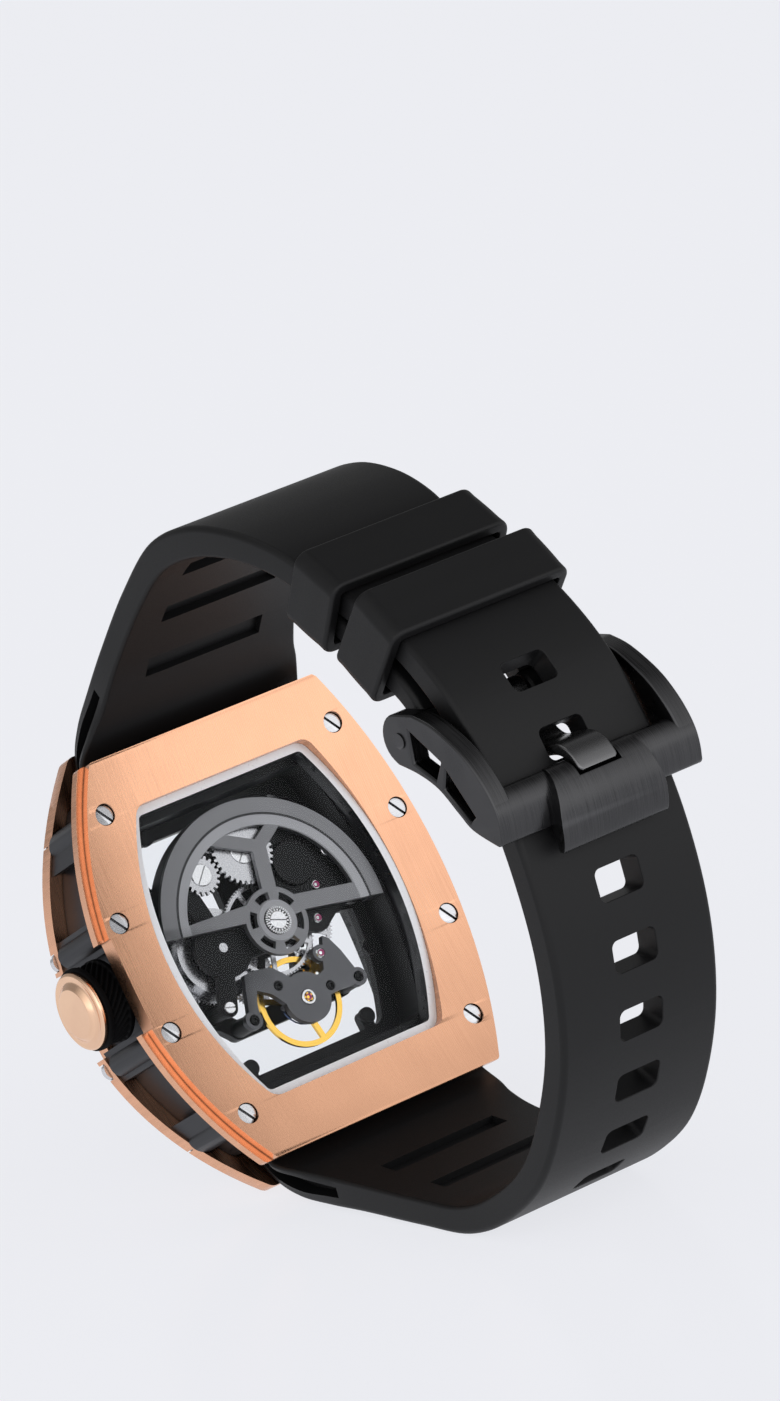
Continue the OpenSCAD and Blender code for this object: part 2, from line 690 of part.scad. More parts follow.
module balance_cock() {
    stud_at = balance_at + [spring_r0 + spring_pitch * spring_turns, 0];
    color("#77787b") {
        difference() {
            plate(train_y, bridge_y) {
                polygon(cock_outline);
                translate(balance_at) circle(r = 2.75);
                translate(escape_at) circle(r = 0.9);
                for (p = cock_feet) translate(p) circle(r = 1);
            }
            disc(balance_at, -20, 0, jewel_r + 0.3);
            disc(escape_at, -20, 0, jewel_r);
            disc([2.5, -5.9], bridge_y - 0.4, 0, 0.55);
            disc([-3.3, -8.0], bridge_y - 0.4, 0, 0.55);
            for (p = cock_feet) disc(p, train_y + 0.3, 0, 0.6);
        }
        disc(stud_at, balance_rim_y + 0.4, train_y + 0.01, 0.22);
    }
}

module jewel(at, r, y0, y1) {
    difference() {
        disc(at, y0, y1, r);
        disc(at, y0 - 1, y1 + 1, arbor_r + slide_fit);
    }
}

module jewels() {
    color("#c98aa6") {
        for (p = concat(train_jewels, [escape_at])) jewel(p, jewel_r, train_y, bridge_y);
        jewel(balance_at, jewel_r + 0.3, train_y, bridge_y);
    }
}

// Bridge screws lie sunk in their bridges, under the winding wheels
sunk_r = 0.7;
sunk_d = 0.35;
module bridge_screws() {
    color("#c9cbce") for (p = concat(barrel_feet, train_feet)) difference() {
        disc(p, bridge_y - sunk_d, bridge_y - 0.03, sunk_r);
        translate([p[0], bridge_y - 0.18, p[1]]) rotate([0, 25, 0])
            translate([-0.1, 0, -2]) cube([0.2, 1, 4]);
    }
}

// Outline of a toothed wheel with n teeth, one of them at the angle phase
module gear2d(n, at, phase = 0) {
    r = gear_r(n);
    tooth = [[-1.0, -0.23], [0.6, -0.08], [0.6, 0.08], [-1.0, 0.23]];
    translate(at) rotate(phase) polygon([
        for (i = [0 : n - 1], t = tooth)
            (r + t[0] * gear_module) * [cos(360 / n * (i + t[1])), sin(360 / n * (i + t[1]))]
    ]);
}

// Cuts windows between the arms of a wheel
module spoked(at, r_out, r_in, count) {
    arm = 0.5;
    difference() {
        children();
        translate(at) difference() {
            circle(r = r_out);
            circle(r = r_in);
            for (i = [0 : count - 1])
                rotate(360 / count * i) translate([0, -arm / 2]) square([r_out + 1, arm]);
        }
    }
}

// A wheel at the depth y with its pinion at the depth pinion_y, on one arbor
module wheel_and_pinion(at, n, y, phase, pinion_n, pinion_y, pinion_phase) {
    plate(y - wheel_t, y) spoked(at, gear_r(n) - 0.5, max(0.7, gear_r(pinion_n)), 5) gear2d(n, at, phase);
    plate(pinion_y - wheel_t - 0.05, pinion_y + 0.05) gear2d(pinion_n, at, pinion_phase);
    disc(at, plate_y - 0.5, bridge_y, arbor_r);
    disc(at, min(y, pinion_y) - wheel_t, max(y, pinion_y), 0.4);
}

floor_y = plate_y + 0.2 + wheel_t;

module mainspring_barrel() {
    color("#a9abae") {
        plate(floor_y - wheel_t, floor_y) gear2d(barrel_n, barrel_at, barrel_a + 180);
        disc(barrel_at, floor_y - 0.01, level[0] - 0.5, gear_r(barrel_n) - 0.5);
        disc(barrel_at, plate_y - 0.5, bridge_y, barrel_arbor_r);
    }
}

module center_wheel() {
    color("#c9a968") {
        plate(level[0] - wheel_t, level[0])
            spoked(center_at, gear_r(center_n) - 0.5, gear_r(center_pinion_n) + 0.2, 5)
                gear2d(center_n, center_at, third_a);
        plate(floor_y - wheel_t - 0.05, floor_y + 0.05)
            gear2d(center_pinion_n, center_at, barrel_a + 180 / center_pinion_n);
        disc(center_at, hands_y - 0.9, bridge_y - 0.35, center_arbor_r);
        disc(center_at, floor_y, level[0], 0.8);
    }
}

module third_wheel() {
    color("#c9a968") wheel_and_pinion(third_at, third_n, level[1], fourth_a,
        third_pinion_n, level[0], third_a + 180 + 180 / third_pinion_n);
}

module fourth_wheel() {
    color("#c9a968") wheel_and_pinion(fourth_at, fourth_n, level[2], fifth_a,
        fourth_pinion_n, level[1], fourth_a + 180 + 180 / fourth_pinion_n);
}

module fifth_wheel() {
    color("#c9a968") wheel_and_pinion(fifth_at, fifth_n, level[4], escape_a,
        fifth_pinion_n, level[2], fifth_a + 180 + 180 / fifth_pinion_n);
}

module escape_wheel() {
    teeth = 15;
    a = 360 / teeth;
    color("#c9cbce") {
        plate(level[3] - wheel_t, level[3]) spoked(escape_at, 1.25, 0.55, 4) translate(escape_at)
            polygon([for (i = [0 : teeth - 1], t = [[1.5, 0], [1.5, 3], [2.05, 8], [1.5, 12]])
                t[0] * [cos(a * i + t[1]), sin(a * i + t[1])]]);
        plate(level[4] - wheel_t - 0.05, level[4] + 0.05)
            gear2d(escape_pinion_n, escape_at, escape_a + 180 + 180 / escape_pinion_n);
        disc(escape_at, plate_y - 0.5, bridge_y, arbor_r);
        disc(escape_at, level[4] - wheel_t, level[3], 0.4);
    }
}

module pallet_fork() {
    toward = balance_at - pallet_at;
    color("#c9cbce") {
        plate(level[3] - wheel_t, level[3]) translate(pallet_at) rotate(atan2(toward[1], toward[0])) {
            link([0, 0], [1.5, 0], 0.4);
            difference() {
                translate([1.6, 0]) circle(r = 0.4);
                translate([1.6, -0.15]) square([1, 0.3]);
            }
            link([0, -0.75], [0, 0.75], 0.35);
        }
        disc(pallet_at, plate_y - 0.5, level[3] + 0.15, arbor_r);
    }
}

module balance_wheel() {
    rim_t = 0.4;
    r = balance_d / 2;
    color("#d9b45c") {
        plate(balance_rim_y - rim_t, balance_rim_y) translate(balance_at) {
            difference() {
                circle(r = r);
                circle(r = r - 0.6);
            }
            for (a = [20, 140, 260]) rotate(a) translate([0, -0.3]) square([r - 0.3, 0.6]);
            circle(r = 0.6);
        }
        disc(balance_at, plate_y - 0.5, bridge_y, arbor_r);
    }
}

// Flat spiral above the balance, whose least gap to itself is measured and printed
spring_turns = 4;
spring_pitch = 0.55;
spring_w = 0.09;
spring_r0 = 0.45;
spring_steps = 24;
function spring_at(i, side) = (spring_r0 + spring_pitch * i / spring_steps + side * spring_w / 2)
    * [cos(360 / spring_steps * i), sin(360 / spring_steps * i)];
function spring_gap() = min([for (i = [0 : (spring_turns - 1) * spring_steps])
    norm(spring_at(i + spring_steps, -1) - spring_at(i, 1))]);
module hairspring() {
    n = spring_turns * spring_steps;
    echo("least gap of the hairspring to itself", spring_gap());
    color("#4a6fa5") plate(balance_rim_y + 0.2, balance_rim_y + 0.4) translate(balance_at)
        polygon(concat([for (i = [0 : n]) spring_at(i, -1)], [for (i = [n : -1 : 0]) spring_at(i, 1)]));
}

// Winding wheels lie on posts of the bridges; each has a blind bore
module winding_gear(n, at, phase) {
    color("#cfd0d3") difference() {
        plate(winding_y - winding_t, winding_y) gear2d(n, at, phase);
        disc(at, winding_y - winding_t - 1, winding_y - winding_t / 2, 0.5 + slide_fit);
    }
}

module ratchet_wheel() {
    winding_gear(ratchet_n, ratchet_at, crown_wheel_a);
}

module crown_wheel() {
    winding_gear(crown_wheel_n, crown_wheel_at, crown_wheel_a + 180 + 180 / crown_wheel_n);
}

// The ratchet's teeth stand at its first mesh, so this wheel takes up the rest of a tooth
module winding_wheel() {
    teeth = (winding_a - crown_wheel_a) * ratchet_n / 360;
    part = teeth - floor(teeth);
    winding_gear(winding_n, winding_at, winding_a + 180 + (0.5 + part) * 360 / winding_n);
}

// Rotor: everything above a cut that is tilted against the case
cut_tilt = 8.8;
hub_r = 3.7;
rim_in_r = 10.4;
rotor_bore_r = bearing_r + slide_fit;

module above_cut() {
    intersection() {
        children();
        translate([0, 0.4]) rotate(cut_tilt) translate([-20, 0]) square([40, 20]);
    }
}

module rotor_outline() {
    beans = 6;
    difference() {
        union() {
            above_cut() difference() {
                circle(r = rotor_r, $fn = 128);
                circle(r = rim_in_r, $fn = 128);
            }
            circle(r = hub_r);
            above_cut() union() {
                link([0, 1.5], rim_in_r * [cos(cut_tilt), sin(cut_tilt)] + [0.6, 0.4], 2.2);
                link([0, 1.5], rim_in_r * [cos(188.8), sin(188.8)] + [-0.6, 1.2], 1.8);
                link([0, 0], [-1.9, 7.9], 1.7);
                link([-1.9, 7.9], [3.9, 10.9], 1.4);
                link([-1.9, 7.9], [-5.2, 9.9], 1.4);
            }
        }
        circle(r = rotor_bore_r);
        for (i = [0 : beans - 1]) rotate(360 / beans * i + 20) intersection() {
            difference() {
                circle(r = 3.15);
                circle(r = 2.35);
            }
            polygon([[0, 0], [6, -1.9], [6, 1.9]]);
        }
    }
}

module rotor_web() {
    color("#6c6e71") plate(rotor_y - rotor_web_t, rotor_y) translate(rotor_at) rotor_outline();
}

// Heavy rim under the web
module rotor_weight() {
    color("#4a4b4e") plate(rotor_y - rotor_rim_h, rotor_y - rotor_web_t) translate(rotor_at)
        above_cut() difference() {
            circle(r = rotor_r, $fn = 128);
            circle(r = rotor_r - rotor_rim_w, $fn = 128);
        }
}

module rotor_screw() {
    color("#c9cbce") difference() {
        disc(rotor_at, rotor_y - 0.25, rotor_y + 0.1, rotor_bore_r);
        translate([rotor_at[0], rotor_y - 0.1, rotor_at[1]]) rotate([0, 12, 0]) translate([-0.17, 0, -3])
            cube([0.34, 1, 6]);
    }
}

module rotor_bearing() {
    color("#c9cbce") disc(rotor_at, bridge_y - 0.3, rotor_y - 0.3, bearing_r);
}

module dial_ring() {
    post_r = 0.6;
    color("#3b2318") {
        plate(hands_y, dial_y) difference() {
            tonneau(cavity_half_w - 0.3, 15, side_r, 1.6);
            tonneau(14.4, 13.6, side_r, 1.4);
        }
        for (sx = [-1, 1], sz = [-1, 1]) disc([sx * 12.6, sz * 14], dial_y - 0.01, motion_y, post_r);
    }
}

module cannon_pinion() {
    pipe_r = 0.7;
    color("#c9cbce") difference() {
        union() {
            plate(motion_y - 0.65, motion_y - 0.1) gear2d(cannon_n, center_at, minute_wheel_a);
            disc(center_at, hands_y - 0.65, motion_y - 0.6, pipe_r - 0.05);
        }
        disc(center_at, -20, 0, center_arbor_r);
    }
}

module minute_wheel() {
    color("#c9a968") difference() {
        union() {
            plate(motion_y - 0.5, motion_y - 0.25)
                gear2d(minute_wheel_n, minute_wheel_at, minute_wheel_a + 180 + 180 / minute_wheel_n);
            plate(motion_y - 1.35, motion_y - 0.49)
                gear2d(minute_pinion_n, minute_wheel_at, minute_wheel_a + 180);
        }
        disc(minute_wheel_at, -20, 0, 0.35 + slide_fit);
    }
}

module hour_wheel() {
    bore = 0.65 + slide_fit;
    color("#c9a968") difference() {
        union() {
            plate(motion_y - 1.3, motion_y - 1.0) gear2d(hour_n, center_at, minute_wheel_a + 180 / hour_n);
            disc(center_at, hands_y - 0.45, motion_y - 1.2, 1);
        }
        disc(center_at, -20, 0, bore);
    }
}

module hand2d(l, w, boss, bore) {
    difference() {
        union() {
            circle(r = boss);
            link([0, -1.8], [0, 0], w * 0.8);
            polygon([[-w * 0.35, 0], [w * 0.35, 0], [w / 2, l * 0.55],
                [0.1, l], [-0.1, l], [-w / 2, l * 0.55]]);
        }
        circle(r = bore);
        polygon([[-w * 0.12, l * 0.3], [w * 0.12, l * 0.3], [w * 0.2, l * 0.55],
            [0, l * 0.8], [-w * 0.2, l * 0.55]]);
    }
}

module hour_hand() {
    color("#e6e6e6") plate(hands_y - 0.45, hands_y - 0.2) rotate(58) hand2d(hour_hand_l, 1.5, 1.5, 1);
}

module minute_hand() {
    color("#e6e6e6") plate(hands_y - 0.9, hands_y - 0.65)
        rotate(-50) hand2d(minute_hand_l, 1.3, 1.2, center_arbor_r);
}

// Rings of a strap: eight points each, from the inner face to the outer one
function strap_ring(a, b) =
    let (u = [b[0] - a[0], b[1] - a[1]], t = norm(u), d = u / t, e = strap_bevel,
        at = function (x, s) [x, a[0] + d[0] * s, a[1] + d[1] * s])
    [at(-a[2] + e, 0), at(a[2] - e, 0), at(a[2], e), at(b[2], t - e),
        at(b[2] - e, t), at(-b[2] + e, t), at(-b[2], t - e), at(-a[2], e)];

module strap_body(inner, outer) {
    a = smooth(inner);
    b = smooth(outer);
    rings = [for (i = [0 : len(a) - 1]) strap_ring(a[i], b[i])];
    n = len(rings);
    m = 8;
    points = [for (r = rings, q = r) q];
    sides = [for (i = [0 : n - 2], j = [0 : m - 1])
        [i * m + j, i * m + (j + 1) % m, (i + 1) * m + (j + 1) % m, (i + 1) * m + j]];
    ends = [[for (j = [m - 1 : -1 : 0]) j], [for (j = [0 : m - 1]) (n - 1) * m + j]];
    faces = concat(sides, ends);
    turned = inner[0][1] > 0 ? faces : [for (f = faces) [for (k = [len(f) - 1 : -1 : 0]) f[k]]];
    polyhedron(points, turned, convexity = 8);
}

// Two shallow grooves across the inner face, near the case
module inner_grooves(side) {
    w = 12;
    for (p = [[14.0, 31.6, 27], [21.5, 34.4, 12]])
        translate([0, p[0], side * p[1]]) rotate([side * p[2], 0, 0]) minkowski() {
            cube([w, 1.2, 1], center = true);
            sphere(r = 0.3, $fn = 8);
        }
}

// The tongue holes, spaced along the outer face of the long strap
function path_len(p, i) = i == 0 ? 0
    : path_len(p, i - 1) + norm([p[i][0] - p[i - 1][0], p[i][1] - p[i - 1][1]]);
module strap_holes() {
    mid = [for (i = [0 : len(strap_long_out) - 1]) (strap_long_out[i] + strap_long_in[i]) / 2];
    p = smooth(mid);
    s = [for (i = [0 : len(p) - 1]) path_len(p, i)];
    start = lookup_z(p, s, first_hole_at);
    for (k = [0 : hole_count - 1]) {
        d = start - k * hole_pitch;
        y = lookup(d, [for (i = [0 : len(p) - 1]) [s[i], p[i][0]]]);
        z = lookup(d, [for (i = [0 : len(p) - 1]) [s[i], p[i][1]]]);
        y2 = lookup(d + 1, [for (i = [0 : len(p) - 1]) [s[i], p[i][0]]]);
        z2 = lookup(d + 1, [for (i = [0 : len(p) - 1]) [s[i], p[i][1]]]);
        translate([0, y, z]) rotate([atan2(z2 - z, y2 - y) - 90, 0, 0]) rotate([90, 0, 0])
            linear_extrude(12, center = true) hole2d();
    }
}

// Distance along the path p, whose running lengths are s, to the height z on its rising end
function lookup_z(p, s, z) = lookup(z, [for (i = [0 : len(p) - 1]) if (p[i][0] > 45) [p[i][1], s[i]]]);

module hole2d() {
    round_rect(-hole_w / 2, hole_w / 2, -hole_h / 2, hole_h / 2, 0.7);
}

module lug_notch(side) {
    translate([-lug_half_w - 0.3, -12, side > 0 ? 15 : -bar_at[1] - 1.8])
        cube([2 * lug_half_w + 0.6, 11.2, bar_at[1] - 13.2]);
    xrod(bar_at[0], side * bar_at[1], -30, 30, bar_d / 2 + slide_fit);
}

module strap_short() {
    barrel = 1.9;
    color("#1c1c1e") difference() {
        union() {
            strap_body(strap_short_in, strap_short_out);
            xrod(buckle_at[0], buckle_at[1], -9.6, 9.6, barrel);
        }
        lug_notch(1);
        inner_grooves(1);
        xrod(buckle_at[0], buckle_at[1], -20, 20, bar_d / 2 + slide_fit);
        translate([-tongue_w / 2 - 0.4, buckle_at[0] - 6, buckle_at[1] - 6])
            cube([tongue_w + 0.8, 12, 6 + barrel + 1.2]);
    }
}

module strap_long() {
    color("#1c1c1e") difference() {
        strap_body(strap_long_in, strap_long_out);
        lug_notch(-1);
        inner_grooves(-1);
        strap_holes();
    }
}

module strap_bars() {
    color("#b9bbbe") for (sz = [-1, 1]) xrod(bar_at[0], sz * bar_at[1], -11.5, 11.5, bar_d / 2);
}

// Loop round both layers: n across the layers, t along them, the axes in row Y and Z
module keeper(n0, n1, t0, t, half_w) {
    c = 1.2;
    multmatrix([[1, 0, 0, 0], [0, t[2], t[0], 0], [0, t[3], t[1], 0], [0, 0, 0, 1]])
        translate([0, 0, t0]) linear_extrude(keeper_l) difference() {
            round_rect(-half_w - keeper_t, half_w + keeper_t, n0 - keeper_t, n1 + keeper_t, c);
            round_rect(-half_w, half_w, n0, n1, c * 0.5);
        }
}

module round_rect(x0, x1, y0, y1, c) {
    polygon(concat(arc([x1 - c, y0 + c], c, -90, 0, 6), arc([x1 - c, y1 - c], c, 0, 90, 6),
        arc([x0 + c, y1 - c], c, 90, 180, 6), arc([x0 + c, y0 + c], c, 180, 270, 6)));
}

keeper_half_w = 9.7 + keeper_play;
sliding_dir = [0.57, -0.82, 0.82, 0.57];
fixed_dir = [0.427, -0.904, 0.904, 0.427];

module keeper_sliding() {
    color("#1f1f21") keeper(48.4, 54.7, 4.4, sliding_dir, keeper_half_w);
}

module keeper_fixed() {
    color("#1f1f21") keeper(50.0, 57.8, 4.1, fixed_dir, keeper_half_w);
}

// Side view of a buckle arm: lower edge out to the front, upper edge back
arm_lower = [[50.1, 7.9], [49.9, 6.1], [50.9, 4.9], [53.3, 3.0],
    [55.3, 0.7], [56.6, -2.4], [57.6, -4.5], [60.3, -7.1]];
arm_upper = [[61.1, -7.1], [61.8, -6.0], [62.6, -3.1], [62.3, -0.3],
    [61.4, 2.3], [58.8, 6.3], [56.5, 8.4], [53.9, 8.9]];
arm_windows = [[[54.9, 7.2], [57.6, 2.9], [55.6, 1.6], [53.4, 4.2]],
    [[57.8, 2.0], [58.9, -3.4], [57.8, -3.6], [56.2, 0.5]]];
arm_x = 10.0 + arm_play;

// Turns an outline of (row Y, row Z) into a slab between two x values
module side_slab(x0, x1) {
    translate([x0, 0, 0]) rotate([90, 0, 90]) linear_extrude(x1 - x0) children();
}

module buckle_frame() {
    flap_half_top = 5.2;
    flap_half_low = 6.6;
    color("#232326") difference() {
        union() {
            for (x = [-arm_x - arm_t, arm_x]) side_slab(x, x + arm_t) {
                polygon(concat(arm_lower, arm_upper));
                translate(buckle_at) circle(r = arm_disc_r);
            }
            side_slab(-arm_x - arm_t, arm_x + arm_t)
                polygon([[bar_in_y, -7.1], [61.1, -7.1], [61.8, -6.0], [62.4, -4.0], [62.5, -2.6],
                    [61.9, -1.9], [60.9, -2.2], [bar_in_y, -3.2]]);
            intersection() {
                side_slab(-8, 8) polygon(flap_side);
                translate([0, 80, 0]) rotate([90, 0, 0]) linear_extrude(40) polygon([
                    [-flap_half_low, -10.2], [flap_half_low, -10.2], [flap_half_low, -7.1],
                    [flap_half_top, -1], [-flap_half_top, -1], [-flap_half_low, -7.1]]);
            }
        }
        for (x = [-arm_x - arm_t - 1, arm_x - 1], w = arm_windows) side_slab(x, x + arm_t + 2) polygon(w);
        xrod(buckle_at[0], buckle_at[1], -20, 20, bar_d / 2);
        translate([-tongue_w / 2 - 0.25, 61.0, -4.0]) cube([tongue_w + 0.5, 5, 4]);
    }
}

bar_in_y = 60.5;
flap_side = [[60.8, -7.1], [60.3, -9.9], [61.2, -10.1], [62.6, -7.4],
    [63.4, -4.4], [63.3, -2.6], [62.4, -1.9], [61.2, -2.2]];

tongue_path = [[52.9, 6.8], [55.3, 3.0], [55.7, 1.7], [57.0, 0.3], [60.4, -0.3], [61.6, -0.9],
    [62.5, -2.2], [62.7, -3.3]];

module buckle_tongue() {
    eye_r = bar_d / 2 + 0.9;
    color("#262629") difference() {
        side_slab(-tongue_w / 2, tongue_w / 2) {
            for (i = [0 : len(tongue_path) - 2]) link(tongue_path[i], tongue_path[i + 1], tongue_t);
            translate(buckle_at) circle(r = eye_r);
        }
        xrod(buckle_at[0], buckle_at[1], -20, 20, bar_d / 2 + slide_fit);
    }
}

module buckle_bar() {
    color("#9b9da0") xrod(buckle_at[0], buckle_at[1], -arm_x - arm_t, arm_x + arm_t, bar_d / 2);
}

// Leans the watch and stands it on the table, with the origin under its middle
function loft_z() = [for (s = smooth(strap_long_out)) row_z(s[0], s[1])];
low_z = min(concat(loft_z(), [row_z(front_y(front_half_l), -front_half_l)]));
back_row_y = max([for (p = flap_side) row_y(p[0], p[1])]);
front_row_y = front_y0 * cos(lean) - front_dome_r;
module posed() {
    translate([-middle_x, -(back_row_y + front_row_y) / 2, -low_z]) rotate([lean, 0, 0]) children();
}

posed() back_bezel();
posed() back_gasket();
posed() back_crystal();
posed() back_screws();
posed() case_middle();
posed() front_bezel();
posed() front_gasket();
posed() front_crystal();
posed() front_screws();
posed() crown_tube();
posed() crown_cap();
posed() crown_grip();
posed() crown_ring();
posed() crown_stem();
posed() setting_slide();
posed() movement_ring();
posed() main_plate();
posed() barrel_bridge();
posed() train_bridge();
posed() balance_cock();
posed() bridge_screws();
posed() jewels();
posed() mainspring_barrel();
posed() ratchet_wheel();
posed() crown_wheel();
posed() winding_wheel();
posed() center_wheel();
posed() third_wheel();
posed() fourth_wheel();
posed() fifth_wheel();
posed() escape_wheel();
posed() pallet_fork();
posed() balance_wheel();
posed() hairspring();
posed() rotor_web();
posed() rotor_weight();
posed() rotor_screw();
posed() rotor_bearing();
posed() dial_ring();
posed() cannon_pinion();
posed() minute_wheel();
posed() hour_wheel();
posed() hour_hand();
posed() minute_hand();
posed() strap_short();
posed() strap_long();
posed() strap_bars();
posed() keeper_sliding();
posed() keeper_fixed();
posed() buckle_frame();
posed() buckle_tongue();
posed() buckle_bar();
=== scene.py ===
"""Looks of a skeleton automatic wristwatch that stands on its closed strap, seen from the case back.

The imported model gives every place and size. Lengths are written in millimetres of the watch, in its own
axes: x towards the crown, y out of the case back, z towards 12 o'clock. WatchAxes turns them into metres of
the frame.
"""
import logging
import math
from collections.abc import Mapping, Sequence
from dataclasses import dataclass
from enum import Enum
from itertools import accumulate
from typing import ClassVar

import bmesh
import bpy
from mathutils import Matrix, Vector


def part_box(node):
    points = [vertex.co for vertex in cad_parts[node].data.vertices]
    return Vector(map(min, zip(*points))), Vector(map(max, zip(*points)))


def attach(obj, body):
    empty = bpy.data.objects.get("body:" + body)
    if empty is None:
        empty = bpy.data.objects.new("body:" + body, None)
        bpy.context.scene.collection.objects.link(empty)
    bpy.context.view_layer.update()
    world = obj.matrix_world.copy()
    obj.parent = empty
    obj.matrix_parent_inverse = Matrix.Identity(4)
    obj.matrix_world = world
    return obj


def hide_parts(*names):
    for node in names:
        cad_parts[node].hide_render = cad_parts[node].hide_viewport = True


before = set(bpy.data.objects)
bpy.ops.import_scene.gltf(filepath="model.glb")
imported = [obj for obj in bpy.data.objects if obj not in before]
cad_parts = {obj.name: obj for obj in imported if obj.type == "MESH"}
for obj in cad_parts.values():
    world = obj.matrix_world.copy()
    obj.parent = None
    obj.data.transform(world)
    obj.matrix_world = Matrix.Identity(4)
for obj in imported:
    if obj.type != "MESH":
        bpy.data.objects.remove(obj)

LOG = logging.getLogger("skeleton_watch")
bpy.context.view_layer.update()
MM = 0.001

Point2 = tuple[float, float]
Point3 = tuple[float, float, float]
Outline = tuple[Point2, ...]
Colour = tuple[float, float, float]
Ring = list[Point3]
Row = tuple[Vector, Vector, float, float]
Socket = bpy.types.NodeSocket


class Grain(Enum):
    """Which way the brushing runs on a surface, in the watch's axes."""

    ALONG = "towards 12 o'clock"
    ACROSS = "towards the crown"
    THROUGH = "out of the back"
    NONE = "no direction"


@dataclass(frozen=True)
class WatchAxes:
    """Turns places in the watch's own axes into places in the frame.

    Attributes:
        lean: Lean of the case back on the table, in degrees.
        crown_depth: Depth of the crown's axis below the back face, in millimetres.
    """

    lean: float = 24.3
    crown_depth: float = 6.9

    def matrix(self) -> Matrix:
        """The matrix from millimetres in the watch's axes to metres in the frame.

        Returns:
            The matrix.
        """
        low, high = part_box("crown_stem")
        centre = (low + high) / 2
        turn = Matrix.Rotation(math.radians(self.lean), 4, "X")
        crown_y = turn @ Vector((0.0, -self.crown_depth * MM, 0.0))
        bezel_low, bezel_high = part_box("back_bezel")
        origin = Vector(((bezel_low.x + bezel_high.x) / 2, centre.y - crown_y.y, centre.z - crown_y.z))
        return Matrix.Translation(origin) @ turn @ Matrix.Scale(MM, 4)

    def at(self, x: float, y: float, z: float) -> Vector:
        """A place in the frame, in metres, from its millimetres in the watch's axes."""
        return self.matrix() @ Vector((x, y, z))

    def along(self, x: float, y: float, z: float) -> Vector:
        """A direction in the frame from one in the watch's axes."""
        return (Matrix.Rotation(math.radians(self.lean), 3, "X") @ Vector((x, y, z))).normalized()


AXES = WatchAxes()


class Nodes:
    """A short way to add and join the shader nodes of one material or world."""

    def __init__(self, owner: bpy.types.Material | bpy.types.World, output: str = "OutputMaterial") -> None:
        """Empties the owner's tree and gives it an output.

        Args:
            owner: The material or world whose nodes are made.
            output: Type of the output node, without its leading ShaderNode.
        """
        owner.use_nodes = True
        self.tree = owner.node_tree
        self.tree.nodes.clear()
        self.output = self.tree.nodes.new(f"ShaderNode{output}")

    def fill(self, socket: Socket, value: object) -> None:
        """Gives an input its value, or joins it to an output.

        Args:
            socket: The input.
            value: A number, a vector, a linear colour or an output.
        """
        if isinstance(value, Socket):
            self.tree.links.new(value, socket)
        else:
            socket.default_value = (*value, 1.0) if socket.type == "RGBA" else value

    def add(self, kind: str, inputs: Mapping[str | int, object] | None = None, out: str = "",
            **fields: object) -> Socket:
        """Adds a node, sets its fields and fills its inputs.

        Args:
            kind: The node's type without its leading ShaderNode, such as TexNoise.
            inputs: By name or number, an input's value or the output that it is joined to.
            out: Name of the output that is asked for. If empty, the first one in use.
            **fields: Fields of the node.

        Returns:
            The output.
        """
        node = self.tree.nodes.new(f"ShaderNode{kind}")
        for name, value in fields.items():
            setattr(node, name, value)
        for name, value in (inputs or {}).items():
            self.fill(node.inputs[name], value)
        return node.outputs[out] if out else next(o for o in node.outputs if o.enabled)

    def span(self, value: Socket, start: Point2, end: Point2 = (0.0, 1.0)) -> Socket:
        """Maps a value from one range onto another and keeps it inside."""
        return self.add("MapRange", {"Value": value, "From Min": start[0], "From Max": start[1],
                                     "To Min": end[0], "To Max": end[1]})

    def mix(self, a: object, b: object, share: object, blend: str = "MIX") -> Socket:
        """Mixes two colours, each given as a value or an output."""
        return self.add("Mix", {"Factor": share, "A": a, "B": b}, data_type="RGBA", blend_type=blend)

    def ramp(self, share: Socket, stops: Sequence[tuple[float, Colour]], kind: str) -> Socket:
        """Colours a share from 0 to 1 by stops.

        Args:
            share: The share.
            stops: Each stop's place and colour, in order.
            kind: How the colours go over into each other.

        Returns:
            The output with the colour.
        """
        node = self.tree.nodes.new("ShaderNodeValToRGB")
        elements = node.color_ramp.elements
        node.color_ramp.interpolation = kind
        while len(elements) < len(stops):
            elements.new(0.5)
        for element, (place, colour) in zip(elements, stops):
            element.position = place
            element.color = (*colour, 1.0)
        self.fill(node.inputs["Fac"], share)
        return node.outputs["Color"]

    def surface(self, shader: Socket) -> None:
        """Joins the finished shader to the output."""
        self.fill(self.output.inputs["Surface"], shader)


def srgb(r: int, g: int, b: int) -> Colour:
    """The linear colour of red, green and blue given from 0 to 255 as a picture holds them."""
    shares = (c / 255 for c in (r, g, b))
    return tuple(u / 12.92 if u <= 0.04045 else ((u + 0.055) / 1.055) ** 2.4 for u in shares)


@dataclass(frozen=True)
class Look:
    """How a surface looks. The kinds of looks say how it is painted.

    Attributes:
        name: The material's name.
    """

    name: str

    def paint(self, nodes: Nodes) -> None:
        """Adds the nodes of this look."""
        raise NotImplementedError

    def material(self) -> bpy.types.Material:
        """The material of this look, made once.

        Returns:
            The material.
        """
        if self.name not in bpy.data.materials:
            self.paint(Nodes(bpy.data.materials.new(self.name)))
        return bpy.data.materials[self.name]


